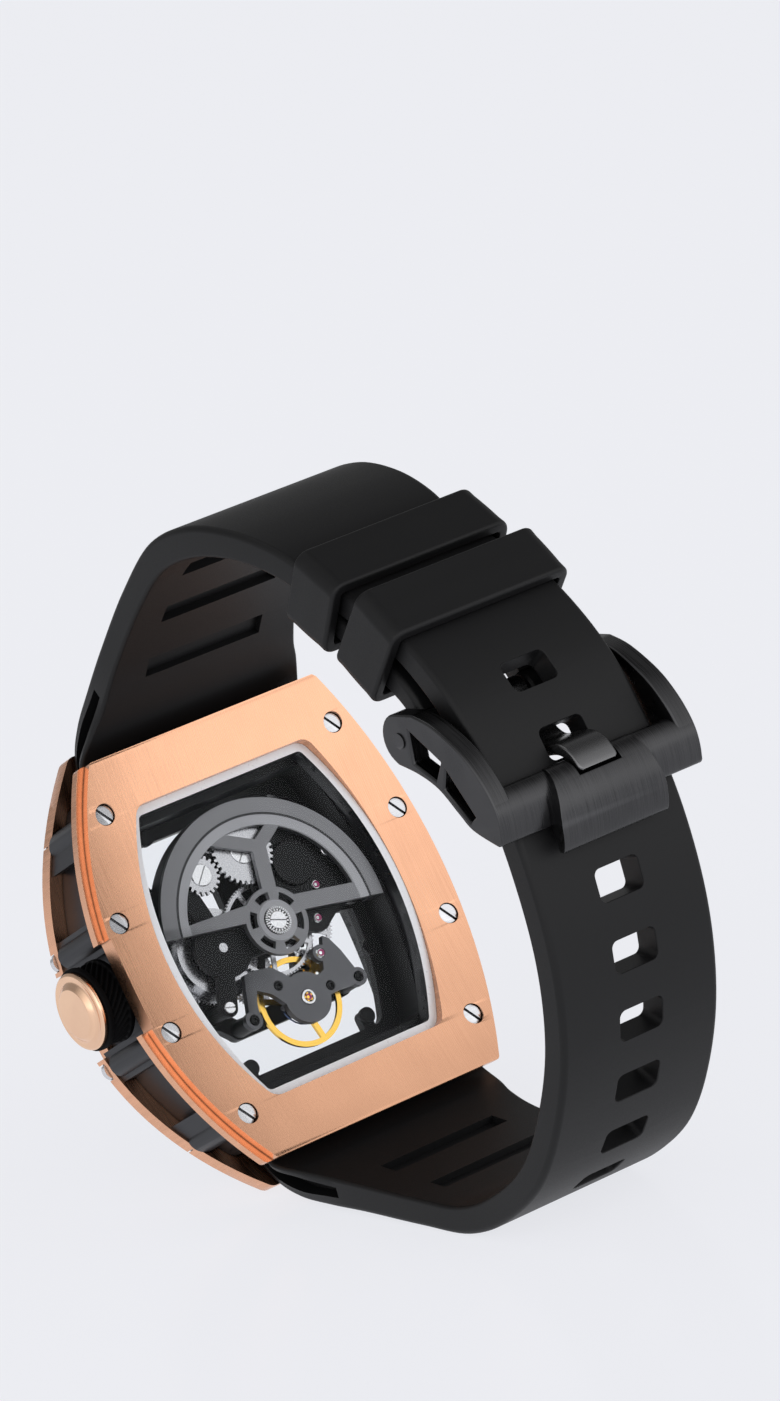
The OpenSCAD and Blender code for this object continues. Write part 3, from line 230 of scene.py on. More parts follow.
@dataclass(frozen=True)
class Finish(Look):
    """A surface finish with grain.

    Attributes:
        colour: Linear colour of the surface.
        metallic: 1 for bare metal and 0 for rubber, paint or stone.
        roughness: Middle roughness.
        grain: Which way the brushing runs.
        grain_size: Width of one stroke or speck, in millimetres.
        contrast: How far the grain changes the colour, as a share.
        rough_spread: How far the grain changes the roughness.
        bump: Height of the grain, in millimetres.
        specular: Specular level of a surface that isn't metal.
        edge_highlight: Share by which narrow edges are lighter: a painted highlight along the edges.
        painted_shade_reach: Reach of the painted shade that darkens corners and slots, in millimetres.
        wall: Colour of the faces that stand along the watch's depth, or None for the same one.
        centre: Where the axis of a turned surface lies, in x and z of the watch, or None.
        bands: Steps of shade outwards from the axis, each a radius in millimetres and a factor.
    """

    colour: Colour
    metallic: float
    roughness: float
    grain: Grain
    grain_size: float
    contrast: float
    rough_spread: float
    bump: float
    specular: float = 0.5
    edge_highlight: float = 0.0
    painted_shade_reach: float = 0.0
    wall: Colour | None = None
    centre: Point2 | None = None
    bands: Outline = ()

    # A stroke's and an arc's length in widths, and the scale and share of the broad clouds in the colour.
    STROKE_LENGTH: ClassVar[float] = 45.0
    ARC_LENGTH: ClassVar[float] = 40.0
    CLOUD_SCALE: ClassVar[float] = 160.0
    CLOUD_SHARE: ClassVar[float] = 0.3
    # Where a face stops being a wall, an edge starts to get its painted highlight, a corner gets its painted
    # shade and the noise lies.
    FLAT_FACING: ClassVar[Point2] = (0.4, 0.7)
    HIGHLIGHT_POINTINESS: ClassVar[Point2] = (0.51, 0.6)
    OPEN_SKY: ClassVar[Point2] = (0.3, 0.85)
    DARKEST_SHADE: ClassVar[float] = 0.12
    NOISE: ClassVar[Point2] = (0.25, 0.75)
    # The painted edge highlight's colour as a factor of the surface's and a share of white, and the room past
    # the last band.
    HIGHLIGHT_GAIN: ClassVar[Point2] = (3.0, 0.02)
    BAND_ROOM: ClassVar[float] = 1.02

    def radius(self, nodes: Nodes, place: Socket) -> Socket:
        """Distance of a point from the turned surface's axis, in metres.

        Args:
            nodes: The material's nodes.
            place: The point in the frame.

        Returns:
            The output with the distance.
        """
        origin = AXES.at(self.centre[0], 0.0, self.centre[1])
        away = nodes.add("VectorMath", {0: place, 1: origin}, operation="SUBTRACT")
        beside = nodes.add("VectorMath", {0: away, 1: AXES.along(0, 1, 0)}, operation="CROSS_PRODUCT")
        return nodes.add("VectorMath", {0: beside}, operation="LENGTH")

    def grain_place(self, nodes: Nodes, place: Socket, far: Socket | None) -> Socket:
        """Where a point lies in the grain's noise.

        Args:
            nodes: The material's nodes.
            place: The point in the watch's directions.
            far: Its distance from the turned surface's axis, if there is one.

        Returns:
            The output with the place.
        """
        fine = 1 / (self.grain_size * MM)
        if far is not None:
            out = nodes.add("CombineXYZ", {"X": nodes.add("Math", {0: far, 1: fine}, operation="MULTIPLY")})
            scale = 1 / (self.grain_size * MM * self.ARC_LENGTH)
            wide = nodes.add("VectorMath", {0: place, "Scale": scale}, operation="SCALE")
            return nodes.add("VectorMath", {0: out, 1: wide}, operation="ADD")
        long = fine / self.STROKE_LENGTH
        stretch = {Grain.ALONG: (fine, long, long), Grain.ACROSS: (long, fine, fine),
                   Grain.THROUGH: (fine, long, fine), Grain.NONE: (fine, fine, fine)}[self.grain]
        return nodes.add("Mapping", {"Vector": place, "Scale": stretch})

    def banded(self, nodes: Nodes, far: Socket, colour: Socket) -> Socket:
        """The colour with its steps of shade round the axis.

        Args:
            nodes: The material's nodes.
            far: The distance from the axis.
            colour: The colour without the steps.

        Returns:
            The output with the colour.
        """
        reach = self.bands[-1][0] * MM * self.BAND_ROOM
        share = nodes.add("Math", {0: far, 1: reach}, operation="DIVIDE")
        starts = (0.0, *(radius * MM / reach for radius, _ in self.bands))
        stops = [(start, (factor,) * 3) for start, (_, factor) in zip(starts, self.bands)]
        return nodes.mix(colour, nodes.ramp(share, stops, "CONSTANT"), 1.0, "MULTIPLY")

    def shaded(self, nodes: Nodes, colour: Socket) -> Socket:
        """The colour with its walls, its painted highlight on narrow edges and its painted shade in corners.

        Args:
            nodes: The material's nodes.
            colour: The colour without them.

        Returns:
            The output with the colour.
        """
        if self.wall:
            normal = nodes.add("NewGeometry", out="Normal")
            depth = nodes.add("VectorMath", {0: normal, 1: AXES.along(0, 1, 0)}, operation="DOT_PRODUCT")
            flat = nodes.span(nodes.add("Math", {0: depth}, operation="ABSOLUTE"), self.FLAT_FACING)
            colour = nodes.mix(self.wall, colour, flat)
        # Painted highlight: narrow convex edges are made lighter than the surface.
        if self.edge_highlight:
            edges = nodes.add("NewGeometry", out="Pointiness")
            rim = nodes.span(edges, self.HIGHLIGHT_POINTINESS, (0.0, self.edge_highlight))
            gain, white = self.HIGHLIGHT_GAIN
            colour = nodes.mix(colour, tuple(min(1.0, gain * c + white) for c in self.colour), rim)
        # Painted shade: corners, slots and recesses are darkened by ambient occlusion.
        if self.painted_shade_reach:
            sky = nodes.add("AmbientOcclusion", {"Distance": self.painted_shade_reach * MM}, "AO", samples=8)
            shade = nodes.span(sky, self.OPEN_SKY, (self.DARKEST_SHADE, 1.0))
            colour = nodes.mix(colour, shade, 1.0, "MULTIPLY")
        return colour

    def paint(self, nodes: Nodes) -> None:
        """Adds the grain, the colour, the roughness and the bump.

        Args:
            nodes: The material's nodes.
        """
        place = nodes.add("TexCoord", out="Object")
        lean = (-math.radians(AXES.lean), 0.0, 0.0)
        turned = nodes.add("Mapping", {"Vector": place, "Rotation": lean})
        far = self.radius(nodes, place) if self.centre else None
        grain = nodes.add("TexNoise", {"Vector": self.grain_place(nodes, turned, far), "Scale": 1.0,
                                       "Detail": 3.0, "Roughness": 0.6})
        cloud = nodes.add("TexNoise", {"Vector": turned, "Scale": self.CLOUD_SCALE, "Detail": 2.0})
        both = nodes.add("Mix", {"Factor": self.CLOUD_SHARE, "A": grain, "B": cloud}, data_type="FLOAT")
        dark, light = (tuple(min(1.0, c * (1 + 2 * part)) for c in self.colour)
                       for part in (-self.contrast, self.contrast))
        colour = nodes.mix(dark, light, both)
        if self.bands:
            colour = self.banded(nodes, far, colour)
        smooth, rough = (min(1.0, max(0.02, self.roughness + part))
                         for part in (-self.rough_spread, self.rough_spread))
        nodes.surface(nodes.add("BsdfPrincipled", {
            "Base Color": self.shaded(nodes, colour),
            "Metallic": self.metallic,
            "Roughness": nodes.span(grain, self.NOISE, (smooth, rough)),
            "Specular IOR Level": self.specular,
            "Normal": nodes.add("Bump", {"Height": grain, "Strength": 1.0, "Distance": self.bump * MM}),
        }))


@dataclass(frozen=True)
class Crystal(Look):
    """Clear flat glass that shows what lies behind it and a weak reflection.

    Attributes:
        strength: Share of the light that it reflects when seen straight on.
    """

    strength: float = 0.004

    def paint(self, nodes: Nodes) -> None:
        """Adds the clear glass and its reflection.

        Args:
            nodes: The material's nodes.
        """
        clear = nodes.add("BsdfTransparent", {"Color": (0.985, 0.99, 0.992)})
        gloss = nodes.add("BsdfPrincipled", {"Base Color": (0.9, 0.94, 0.96), "Metallic": 1.0,
                                             "Roughness": 0.03})
        nodes.surface(nodes.add("MixShader", {"Fac": self.strength, 1: clear, 2: gloss}))


@dataclass(frozen=True)
class PaleFloor(Look):
    """A pale floor with a soft shadow and a weak reflection.

    Attributes:
        colour: Linear colour of the floor.
        glow: Share of its light that doesn't depend on shadows.
    """

    colour: Colour
    glow: float = 0.78

    def paint(self, nodes: Nodes) -> None:
        """Adds the lit floor and its even light.

        Args:
            nodes: The material's nodes.
        """
        lit = nodes.add("BsdfPrincipled", {"Base Color": tuple(c * 0.92 for c in self.colour),
                                           "Roughness": 0.22, "Specular IOR Level": 0.5})
        even = nodes.add("Emission", {"Color": self.colour, "Strength": 1.1})
        nodes.surface(nodes.add("MixShader", {"Fac": self.glow, 1: lit, 2: even}))


class Finishes:
    """The finishes of the watch."""

    # Finishes with a reach for corners get painted shade in their corners and slots.
    ROSE_GOLD = Finish("brushed_rose_gold", srgb(232, 174, 140), 1.0, 0.27, Grain.ALONG, 0.13, 0.15, 0.08,
                       0.0004, painted_shade_reach=0.35)
    ROSE_SATIN = Finish("satin_rose_gold", srgb(250, 200, 168), 1.0, 0.2, Grain.ALONG, 0.12, 0.1, 0.05,
                        0.0004, painted_shade_reach=0.3)
    CASE_BLACK = Finish("satin_black_case", srgb(58, 59, 62), 0.8, 0.42, Grain.THROUGH, 0.08, 0.12, 0.08,
                        0.001)
    BRIDGE = Finish("matt_black_bridge", srgb(17, 17, 19), 0.4, 0.45, Grain.NONE, 0.1, 0.14, 0.08, 0.0008,
                    0.3)
    GREY = Finish("brushed_grey_cock", srgb(92, 92, 95), 0.9, 0.4, Grain.ACROSS, 0.09, 0.14, 0.1, 0.001)
    ROTOR = Finish("ringed_grey_rotor", srgb(150, 150, 153), 0.9, 0.38, Grain.ACROSS, 0.09, 0.14, 0.1,
                   0.001, centre=(0.0, 0.3),
                   bands=((2.2, 0.9), (10.4, 0.6), (11.5, 1.0), (11.75, 0.14), (13.5, 0.62)))
    DARK_GREY = Finish("dark_grey_rim", srgb(60, 61, 64), 0.9, 0.42, Grain.THROUGH, 0.1, 0.12, 0.08, 0.001)
    STEEL = Finish("brushed_steel", srgb(212, 213, 216), 1.0, 0.26, Grain.ACROSS, 0.1, 0.2, 0.1, 0.0006,
                   painted_shade_reach=0.5)
    WHEEL = Finish("satin_wheel_steel", srgb(182, 182, 185), 1.0, 0.26, Grain.NONE, 0.15, 0.06, 0.06,
                   0.0003, painted_shade_reach=0.35)
    SILVER = Finish("satin_silver_setting", srgb(214, 214, 216), 1.0, 0.26, Grain.NONE, 0.1, 0.06, 0.05,
                    0.0003, painted_shade_reach=0.18)
    POLISHED = Finish("polished_steel", srgb(226, 227, 229), 1.0, 0.14, Grain.NONE, 0.2, 0.03, 0.04, 0.0003,
                      painted_shade_reach=0.3)
    BRASS = Finish("gilt_brass", srgb(236, 192, 92), 1.0, 0.2, Grain.NONE, 0.14, 0.05, 0.06, 0.0006,
                   centre=(-0.2, -8.2))
    GASKET = Finish("silver_gasket", srgb(236, 237, 240), 0.1, 0.3, Grain.NONE, 0.5, 0.03, 0.04, 0.0,
                    wall=srgb(30, 30, 32))
    RUBBER = Finish("matt_black_rubber", srgb(15, 15, 16), 0.0, 0.5, Grain.NONE, 0.12, 0.1, 0.07, 0.001,
                    0.26)
    GRIP = Finish("ribbed_black_rubber", srgb(6, 6, 7), 0.0, 0.6, Grain.NONE, 0.12, 0.1, 0.07, 0.001, 0.06)
    # The buckle's narrow edges carry a painted highlight.
    BUCKLE = Finish("brushed_black_buckle", srgb(66, 66, 67), 1.0, 0.3, Grain.ALONG, 0.13, 0.34, 0.14,
                    0.001, edge_highlight=0.25)
    TONGUE = Finish("satin_black_tongue", srgb(112, 112, 113), 1.0, 0.28, Grain.THROUGH, 0.08, 0.16, 0.1,
                    0.001)
    RUBY = Finish("polished_ruby", srgb(168, 62, 112), 0.0, 0.1, Grain.NONE, 0.3, 0.08, 0.02, 0.0)
    BLUED = Finish("blued_spring", srgb(70, 90, 130), 1.0, 0.2, Grain.NONE, 0.1, 0.05, 0.05, 0.0)
    DIAL = Finish("brown_dial_ring", srgb(70, 45, 36), 0.2, 0.5, Grain.NONE, 0.1, 0.1, 0.08, 0.001)
    CRYSTAL = Crystal("sapphire_crystal")


def coat(shown: bpy.types.Object, look: Look) -> None:
    """Gives an object its one material and smooth shading.

    Args:
        shown: The object.
        look: Its look.
    """
    shown.data.materials.clear()
    shown.data.materials.append(look.material())
    shown.data.shade_smooth()


def break_edges(shown: bpy.types.Object, width: float, segments: int, angle: float) -> None:
    """Rounds an object's sharp edges.

    Args:
        shown: The object.
        width: Width of the rounding in millimetres, or 0 for none.
        segments: Number of faces across it.
        angle: Angle above which an edge is sharp, in degrees.
    """
    if width:
        broken = shown.modifiers.new("broken edge", "BEVEL")
        broken.width = width * MM
        broken.segments = segments
        broken.limit_method = "ANGLE"
        broken.angle_limit = math.radians(angle)


def dress(names: str, look: Look, edge: float = 0.0) -> None:
    """Gives nodes of the frame their look and, where asked, softly broken edges.

    Args:
        names: The nodes' names, parted by blanks.
        look: The look that they get.
        edge: Width of the broken edge in millimetres, or 0 for none.
    """
    for name in names.split():
        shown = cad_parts[name]
        weld = shown.modifiers.new("weld", "WELD")
        weld.merge_threshold = 0.002 * MM
        break_edges(shown, edge, 2, 35)
        coat(shown, look)
        smooth = shown.modifiers.new("smooth by angle", "EDGE_SPLIT")
        smooth.split_angle = math.radians(20)
        LOG.info("dressed %s in %s", name, look.name)


def arc(centre: Point2, radius: float, first: float, steps: int = 4) -> list[Point2]:
    """The points of a quarter circle from its first angle, in degrees, one more than its steps."""
    turns = [math.radians(first + 90 * k / steps) for k in range(steps + 1)]
    return [(centre[0] + radius * math.cos(t), centre[1] + radius * math.sin(t)) for t in turns]


def rounded(wide: float, long: float, radius: float, steps: int) -> list[Point2]:
    """A rectangle with round corners round the origin.

    Args:
        wide: Half its width.
        long: Half its length.
        radius: Radius of the corners.
        steps: Number of steps in a corner.

    Returns:
        Its points.
    """
    corners = ((1, 1, 0), (-1, 1, 90), (-1, -1, 180), (1, -1, 270))
    return [spot for sx, sy, first in corners
            for spot in arc((sx * (wide - radius), sy * (long - radius)), radius, first, steps)]


def placed(section: Sequence[Point2], spot: Vector, out: Vector) -> Ring:
    """A section, each point a place along x and a height, set up at a spot in y and z in a direction."""
    return [(x, spot.x + out.x * s, spot.y + out.y * s) for x, s in section]


class Shape:
    """Points and faces of one piece, in millimetres of the watch."""

    def __init__(self) -> None:
        """Starts an empty shape."""
        self.points: list[Point3] = []
        self.faces: list[tuple[int, ...]] = []

    def loft(self, rings: Sequence[Ring], closed: bool = False, whole: bool = True) -> "Shape":
        """Adds a skin through rings of the same number of points.

        Args:
            rings: The rings in order.
            closed: Whether the last ring joins the first. If not, both ends get a face.
            whole: Whether a ring's last point joins its first.

        Returns:
            The shape itself.
        """
        base = len(self.points)
        size = len(rings[0])
        count = len(rings)
        for ring in rings:
            self.points.extend(ring)
        for i in range(count if closed else count - 1):
            here, there = base + i * size, base + (i + 1) % count * size
            for j in range(size if whole else size - 1):
                k = (j + 1) % size
                self.faces.append((here + j, here + k, there + k, there + j))
        if not closed:
            self.faces.append(tuple(base + j for j in range(size))[::-1])
            self.faces.append(tuple(base + (count - 1) * size + j for j in range(size)))
        return self

    def add(self, other: "Shape") -> "Shape":
        """Adds another shape's points and faces.

        Args:
            other: The other shape.

        Returns:
            The shape itself.
        """
        base = len(self.points)
        self.points.extend(other.points)
        self.faces.extend(tuple(base + i for i in face) for face in other.faces)
        return self

    def slab(self, outline: Sequence[Point2], low: float, high: float) -> "Shape":
        """Adds an outline in y and z made as thick as asked along x."""
        return self.loft([[(x, y, z) for y, z in outline] for x in (low, high)])

    def block(self, low: Point3, high: Point3) -> "Shape":
        """Adds a box between two corners."""
        outline = [(low[1], low[2]), (high[1], low[2]), (high[1], high[2]), (low[1], high[2])]
        return self.slab(outline, low[0], high[0])

    def spun(self, profile: Sequence[Point2], centre: Point2, steps: int, whole: bool = True) -> "Shape":
        """Adds a profile turned about a line along x.

        Args:
            profile: Its points, each a place along x and a radius.
            centre: Where the line lies, in y and z.
            steps: Number of steps round the line.
            whole: Whether the profile's last point joins its first.

        Returns:
            The shape itself.
        """
        turns = [2 * math.pi * i / steps for i in range(steps)]
        return self.loft([[(x, centre[0] + r * math.cos(a), centre[1] + r * math.sin(a)) for x, r in profile]
                          for a in turns], True, whole)

    def turned(self, profile: Sequence[Point2], centre: Point2, top: float, steps: int = 64,
               teeth: int = 0, gap: float = 0.22) -> "Shape":
        """Adds a closed profile turned about a line along y.

        Args:
            profile: Its points, each a radius and a depth below the top.
            centre: Where the line lies, in x and z.
            top: Where the top lies along y.
            steps: Number of steps round the line.
            teeth: Number of teeth on the largest radius, or 0 for none.
            gap: Depth of the gaps between teeth.

        Returns:
            The shape itself.
        """
        widest = max(r for r, _ in profile)
        rings = []
        for i in range(steps):
            a = 2 * math.pi * i / steps
            low = gap if teeth and (i * teeth * 2 // steps) % 2 else 0.0
            reach = [(r - low * (r == widest), top - deep) for r, deep in profile]
            rings.append([(centre[0] + r * math.cos(a), y, centre[1] + r * math.sin(a)) for r, y in reach])
        return self.loft(rings, closed=True)

    def mesh(self, name: str) -> bpy.types.Mesh:
        """The shape as a mesh in the frame's metres, with its faces turned outwards.

        Args:
            name: The mesh's name.

        Returns:
            The mesh.
        """
        made = bpy.data.meshes.new(name)
        matrix = AXES.matrix()
        made.from_pydata([matrix @ Vector(p) for p in self.points], [], self.faces)
        made.validate()
        work = bmesh.new()
        work.from_mesh(made)
        bmesh.ops.recalc_face_normals(work, faces=work.faces)
        work.to_mesh(made)
        work.free()
        return made


@dataclass
class Piece:
    """A piece made here that stands for a node of the frame.

    Attributes:
        name: The piece's name.
        node: The node that it replaces.
        body: The body that it rides on.
        slot: The record's material slot that its look belongs to. Not used.
        look: Its look.
        cuts: Shapes that are cut out of it.
        edge: Width of its broken edges in millimetres, or 0 for none.
        sharp: Angle above which an edge stays sharp, in degrees.
    """

    name: str
    node: str
    body: str
    slot: str
    look: Look
    cuts: Sequence[Shape] = ()
    edge: float = 0.0
    sharp: float = 40.0

    def build(self, shape: Shape) -> None:
        """Makes the piece.

        Args:
            shape: Its shape before the cuts.
        """
        made = bpy.data.objects.new(self.name, shape.mesh(self.name))
        bpy.context.scene.collection.objects.link(made)
        if self.cuts:
            self.cut(made)
        break_edges(made, self.edge, 3, self.sharp)
        coat(made, self.look)
        made.data.set_sharp_from_angle(angle=math.radians(self.sharp))
        weights = made.modifiers.new("even faces", "WEIGHTED_NORMAL")
        weights.keep_sharp = True
        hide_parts(self.node)
        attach(made, self.body)
        LOG.info("made %s in place of %s", self.name, self.node)

    def cut(self, made: bpy.types.Object) -> None:
        """Cuts all the shapes out of the piece at once and keeps the result as its mesh.

        Args:
            made: The piece.
        """
        joined = Shape()
        for shape in self.cuts:
            joined.add(shape)
        tool = bpy.data.objects.new(f"{self.name}_cuts", joined.mesh("cuts"))
        bpy.context.scene.collection.objects.link(tool)
        carve = made.modifiers.new("carve", "BOOLEAN")
        carve.operation = "DIFFERENCE"
        carve.solver = "MANIFOLD"
        carve.object = tool
        bpy.context.view_layer.update()
        done = made.evaluated_get(bpy.context.evaluated_depsgraph_get())
        mesh = bpy.data.meshes.new_from_object(done)
        made.modifiers.clear()
        made.data = mesh
        bpy.data.objects.remove(tool)


@dataclass
class Studio:
    """The camera, the floor and the light of the photograph.

    Attributes:
        picture: Width and height of the photograph in pixels.
        focal: Focal length in pixels of the photograph.
        distance: Distance of the camera from the watch's middle, in millimetres.
        origin_px: Where the middle of the case back falls in the photograph.
        right: The picture's right, in the watch's axes.
        up: The picture's up, in the watch's axes.
        backdrop: Colour of the pale background.
        floor_half: Half the floor's width, in metres.
        tent: Brightness of the surroundings in reflections, each a share from straight down to straight up
            and a value.
        bright_side: The side of the frame on which the tent is brightest.
        side_strength: The tent's strength on its dark and on its bright side.
        side_span: How far a direction points to the bright side where the strength starts and stops to grow.
        lamp_at: Place of the soft box in the frame, in metres.
        lamp_aim: The point at which it looks.
        lamp_size: Its width, in metres.
        lamp_power: Its power, in watts.
    """

    picture: Point2 = (780.0, 1401.0)
    focal: float = 6811.0
    distance: float = 706.7
    origin_px: Point2 = (286.48, 918.09)
    right: Point3 = (-0.782, 0.449, -0.432)
    up: Point3 = (-0.332, 0.286, 0.899)
    backdrop: Colour = srgb(239, 240, 245)
    floor_half: float = 6.0
    tent: Outline = (
        (0.0, 0.95), (0.5, 1.0), (0.57, 1.15), (0.7, 0.95), (0.82, 0.88), (0.91, 0.38), (1.0, 0.3))
    bright_side: Point3 = (0.35, 0.92, 0.0)
    side_strength: Point2 = (0.35, 1.6)
    side_span: Point2 = (-0.3, 0.7)
    lamp_at: Point3 = (0.1, -0.35, 1.0)
    lamp_aim: Point3 = (0.0, 0.0, 0.04)
    lamp_size: float = 0.5
    lamp_power: float = 0.6

    def camera(self) -> None:
        """Places the camera where the photograph was taken from."""
        right = AXES.along(*self.right)
        up = AXES.along(*self.up)
        up = (up - right * up.dot(right)).normalized()
        back = right.cross(up)
        eye = AXES.at(0, 0, 0) + back * self.distance * MM
        data = bpy.data.cameras.new("photo_camera")
        data.sensor_fit = "VERTICAL"
        data.sensor_height = 36.0
        data.lens = self.focal / self.picture[1] * data.sensor_height
        data.shift_x = (self.picture[0] / 2 - self.origin_px[0]) / self.picture[1]
        data.shift_y = (self.origin_px[1] - self.picture[1] / 2) / self.picture[1]
        data.clip_start = 0.01
        data.clip_end = 50.0
        camera = bpy.data.objects.new("photo_camera", data)
        camera.matrix_world = Matrix((
            (right.x, up.x, back.x, eye.x),
            (right.y, up.y, back.y, eye.y),
            (right.z, up.z, back.z, eye.z),
            (0.0, 0.0, 0.0, 1.0),
        ))
        bpy.context.scene.collection.objects.link(camera)
        bpy.context.scene.camera = camera

    def floor(self) -> None:
        """Lays the floor."""
        mesh = bpy.data.meshes.new("floor")
        half = self.floor_half
        mesh.from_pydata([(-half, -half, 0), (half, -half, 0), (half, half, 0), (-half, half, 0)], [],
                         [(0, 1, 2, 3)])
        mesh.materials.append(PaleFloor("pale_floor", self.backdrop).material())
        floor = bpy.data.objects.new("floor", mesh)
        bpy.context.scene.collection.objects.link(floor)

    def world(self) -> None:
        """Sets the surroundings: plain behind the watch, and a tent with darker sides in reflections."""
        world = bpy.data.worlds.new("studio")
        bpy.context.scene.world = world
        nodes = Nodes(world, "OutputWorld")
        plain = nodes.add("Background", {"Color": self.backdrop})
        place = nodes.add("TexCoord", out="Generated")
        height = nodes.span(nodes.add("SeparateXYZ", {"Vector": place}, "Z"), (-1.0, 1.0))
        side = nodes.add("VectorMath", {0: place, 1: self.bright_side}, operation="DOT_PRODUCT")
        stops = [(at, (value, value, value * 1.01)) for at, value in self.tent]
        tent = nodes.add("Background", {"Color": nodes.ramp(height, stops, "EASE"),
                                        "Strength": nodes.span(side, self.side_span, self.side_strength)})
        camera_ray = nodes.add("LightPath", out="Is Camera Ray")
        glass_ray = camera_ray.node.outputs["Is Transmission Ray"]
        seen = nodes.add("Math", {0: camera_ray, 1: glass_ray}, operation="MAXIMUM")
        nodes.surface(nodes.add("MixShader", {"Fac": seen, 1: tent, 2: plain}))

    def lamp(self) -> None:
        """Hangs the soft box, which points at the watch."""
        data = bpy.data.lights.new("fill", "AREA")
        data.shape = "SQUARE"
        data.size = self.lamp_size
        data.energy = self.lamp_power
        lamp = bpy.data.objects.new("fill", data)
        lamp.location = self.lamp_at
        aim = Vector(self.lamp_aim) - lamp.location
        lamp.rotation_euler = aim.to_track_quat("-Z", "Y").to_euler()
        bpy.context.scene.collection.objects.link(lamp)

    def build(self) -> None:
        """Sets up the whole studio."""
        bpy.context.scene.view_settings.view_transform = "Standard"
        self.camera()
        self.floor()
        self.world()
        self.lamp()


@dataclass
class Case:
    """The bezels, crystals, gaskets, screws and middle of the case.

    Attributes:
        edge: Width of the broken edges of the bezels and the middle.
    """

    edge: float = 0.14

    def build(self) -> None:
        """Dresses the case."""
        dress("back_bezel front_bezel", Finishes.ROSE_GOLD, self.edge)
        dress("case_middle", Finishes.CASE_BLACK, self.edge)
        dress("back_gasket front_gasket", Finishes.GASKET)
        dress("back_crystal front_crystal", Finishes.CRYSTAL)
        dress("back_screws front_screws", Finishes.STEEL, 0.06)
        dress("crown_tube", Finishes.CASE_BLACK, 0.05)
        dress("movement_ring", Finishes.BRIDGE, 0.05)


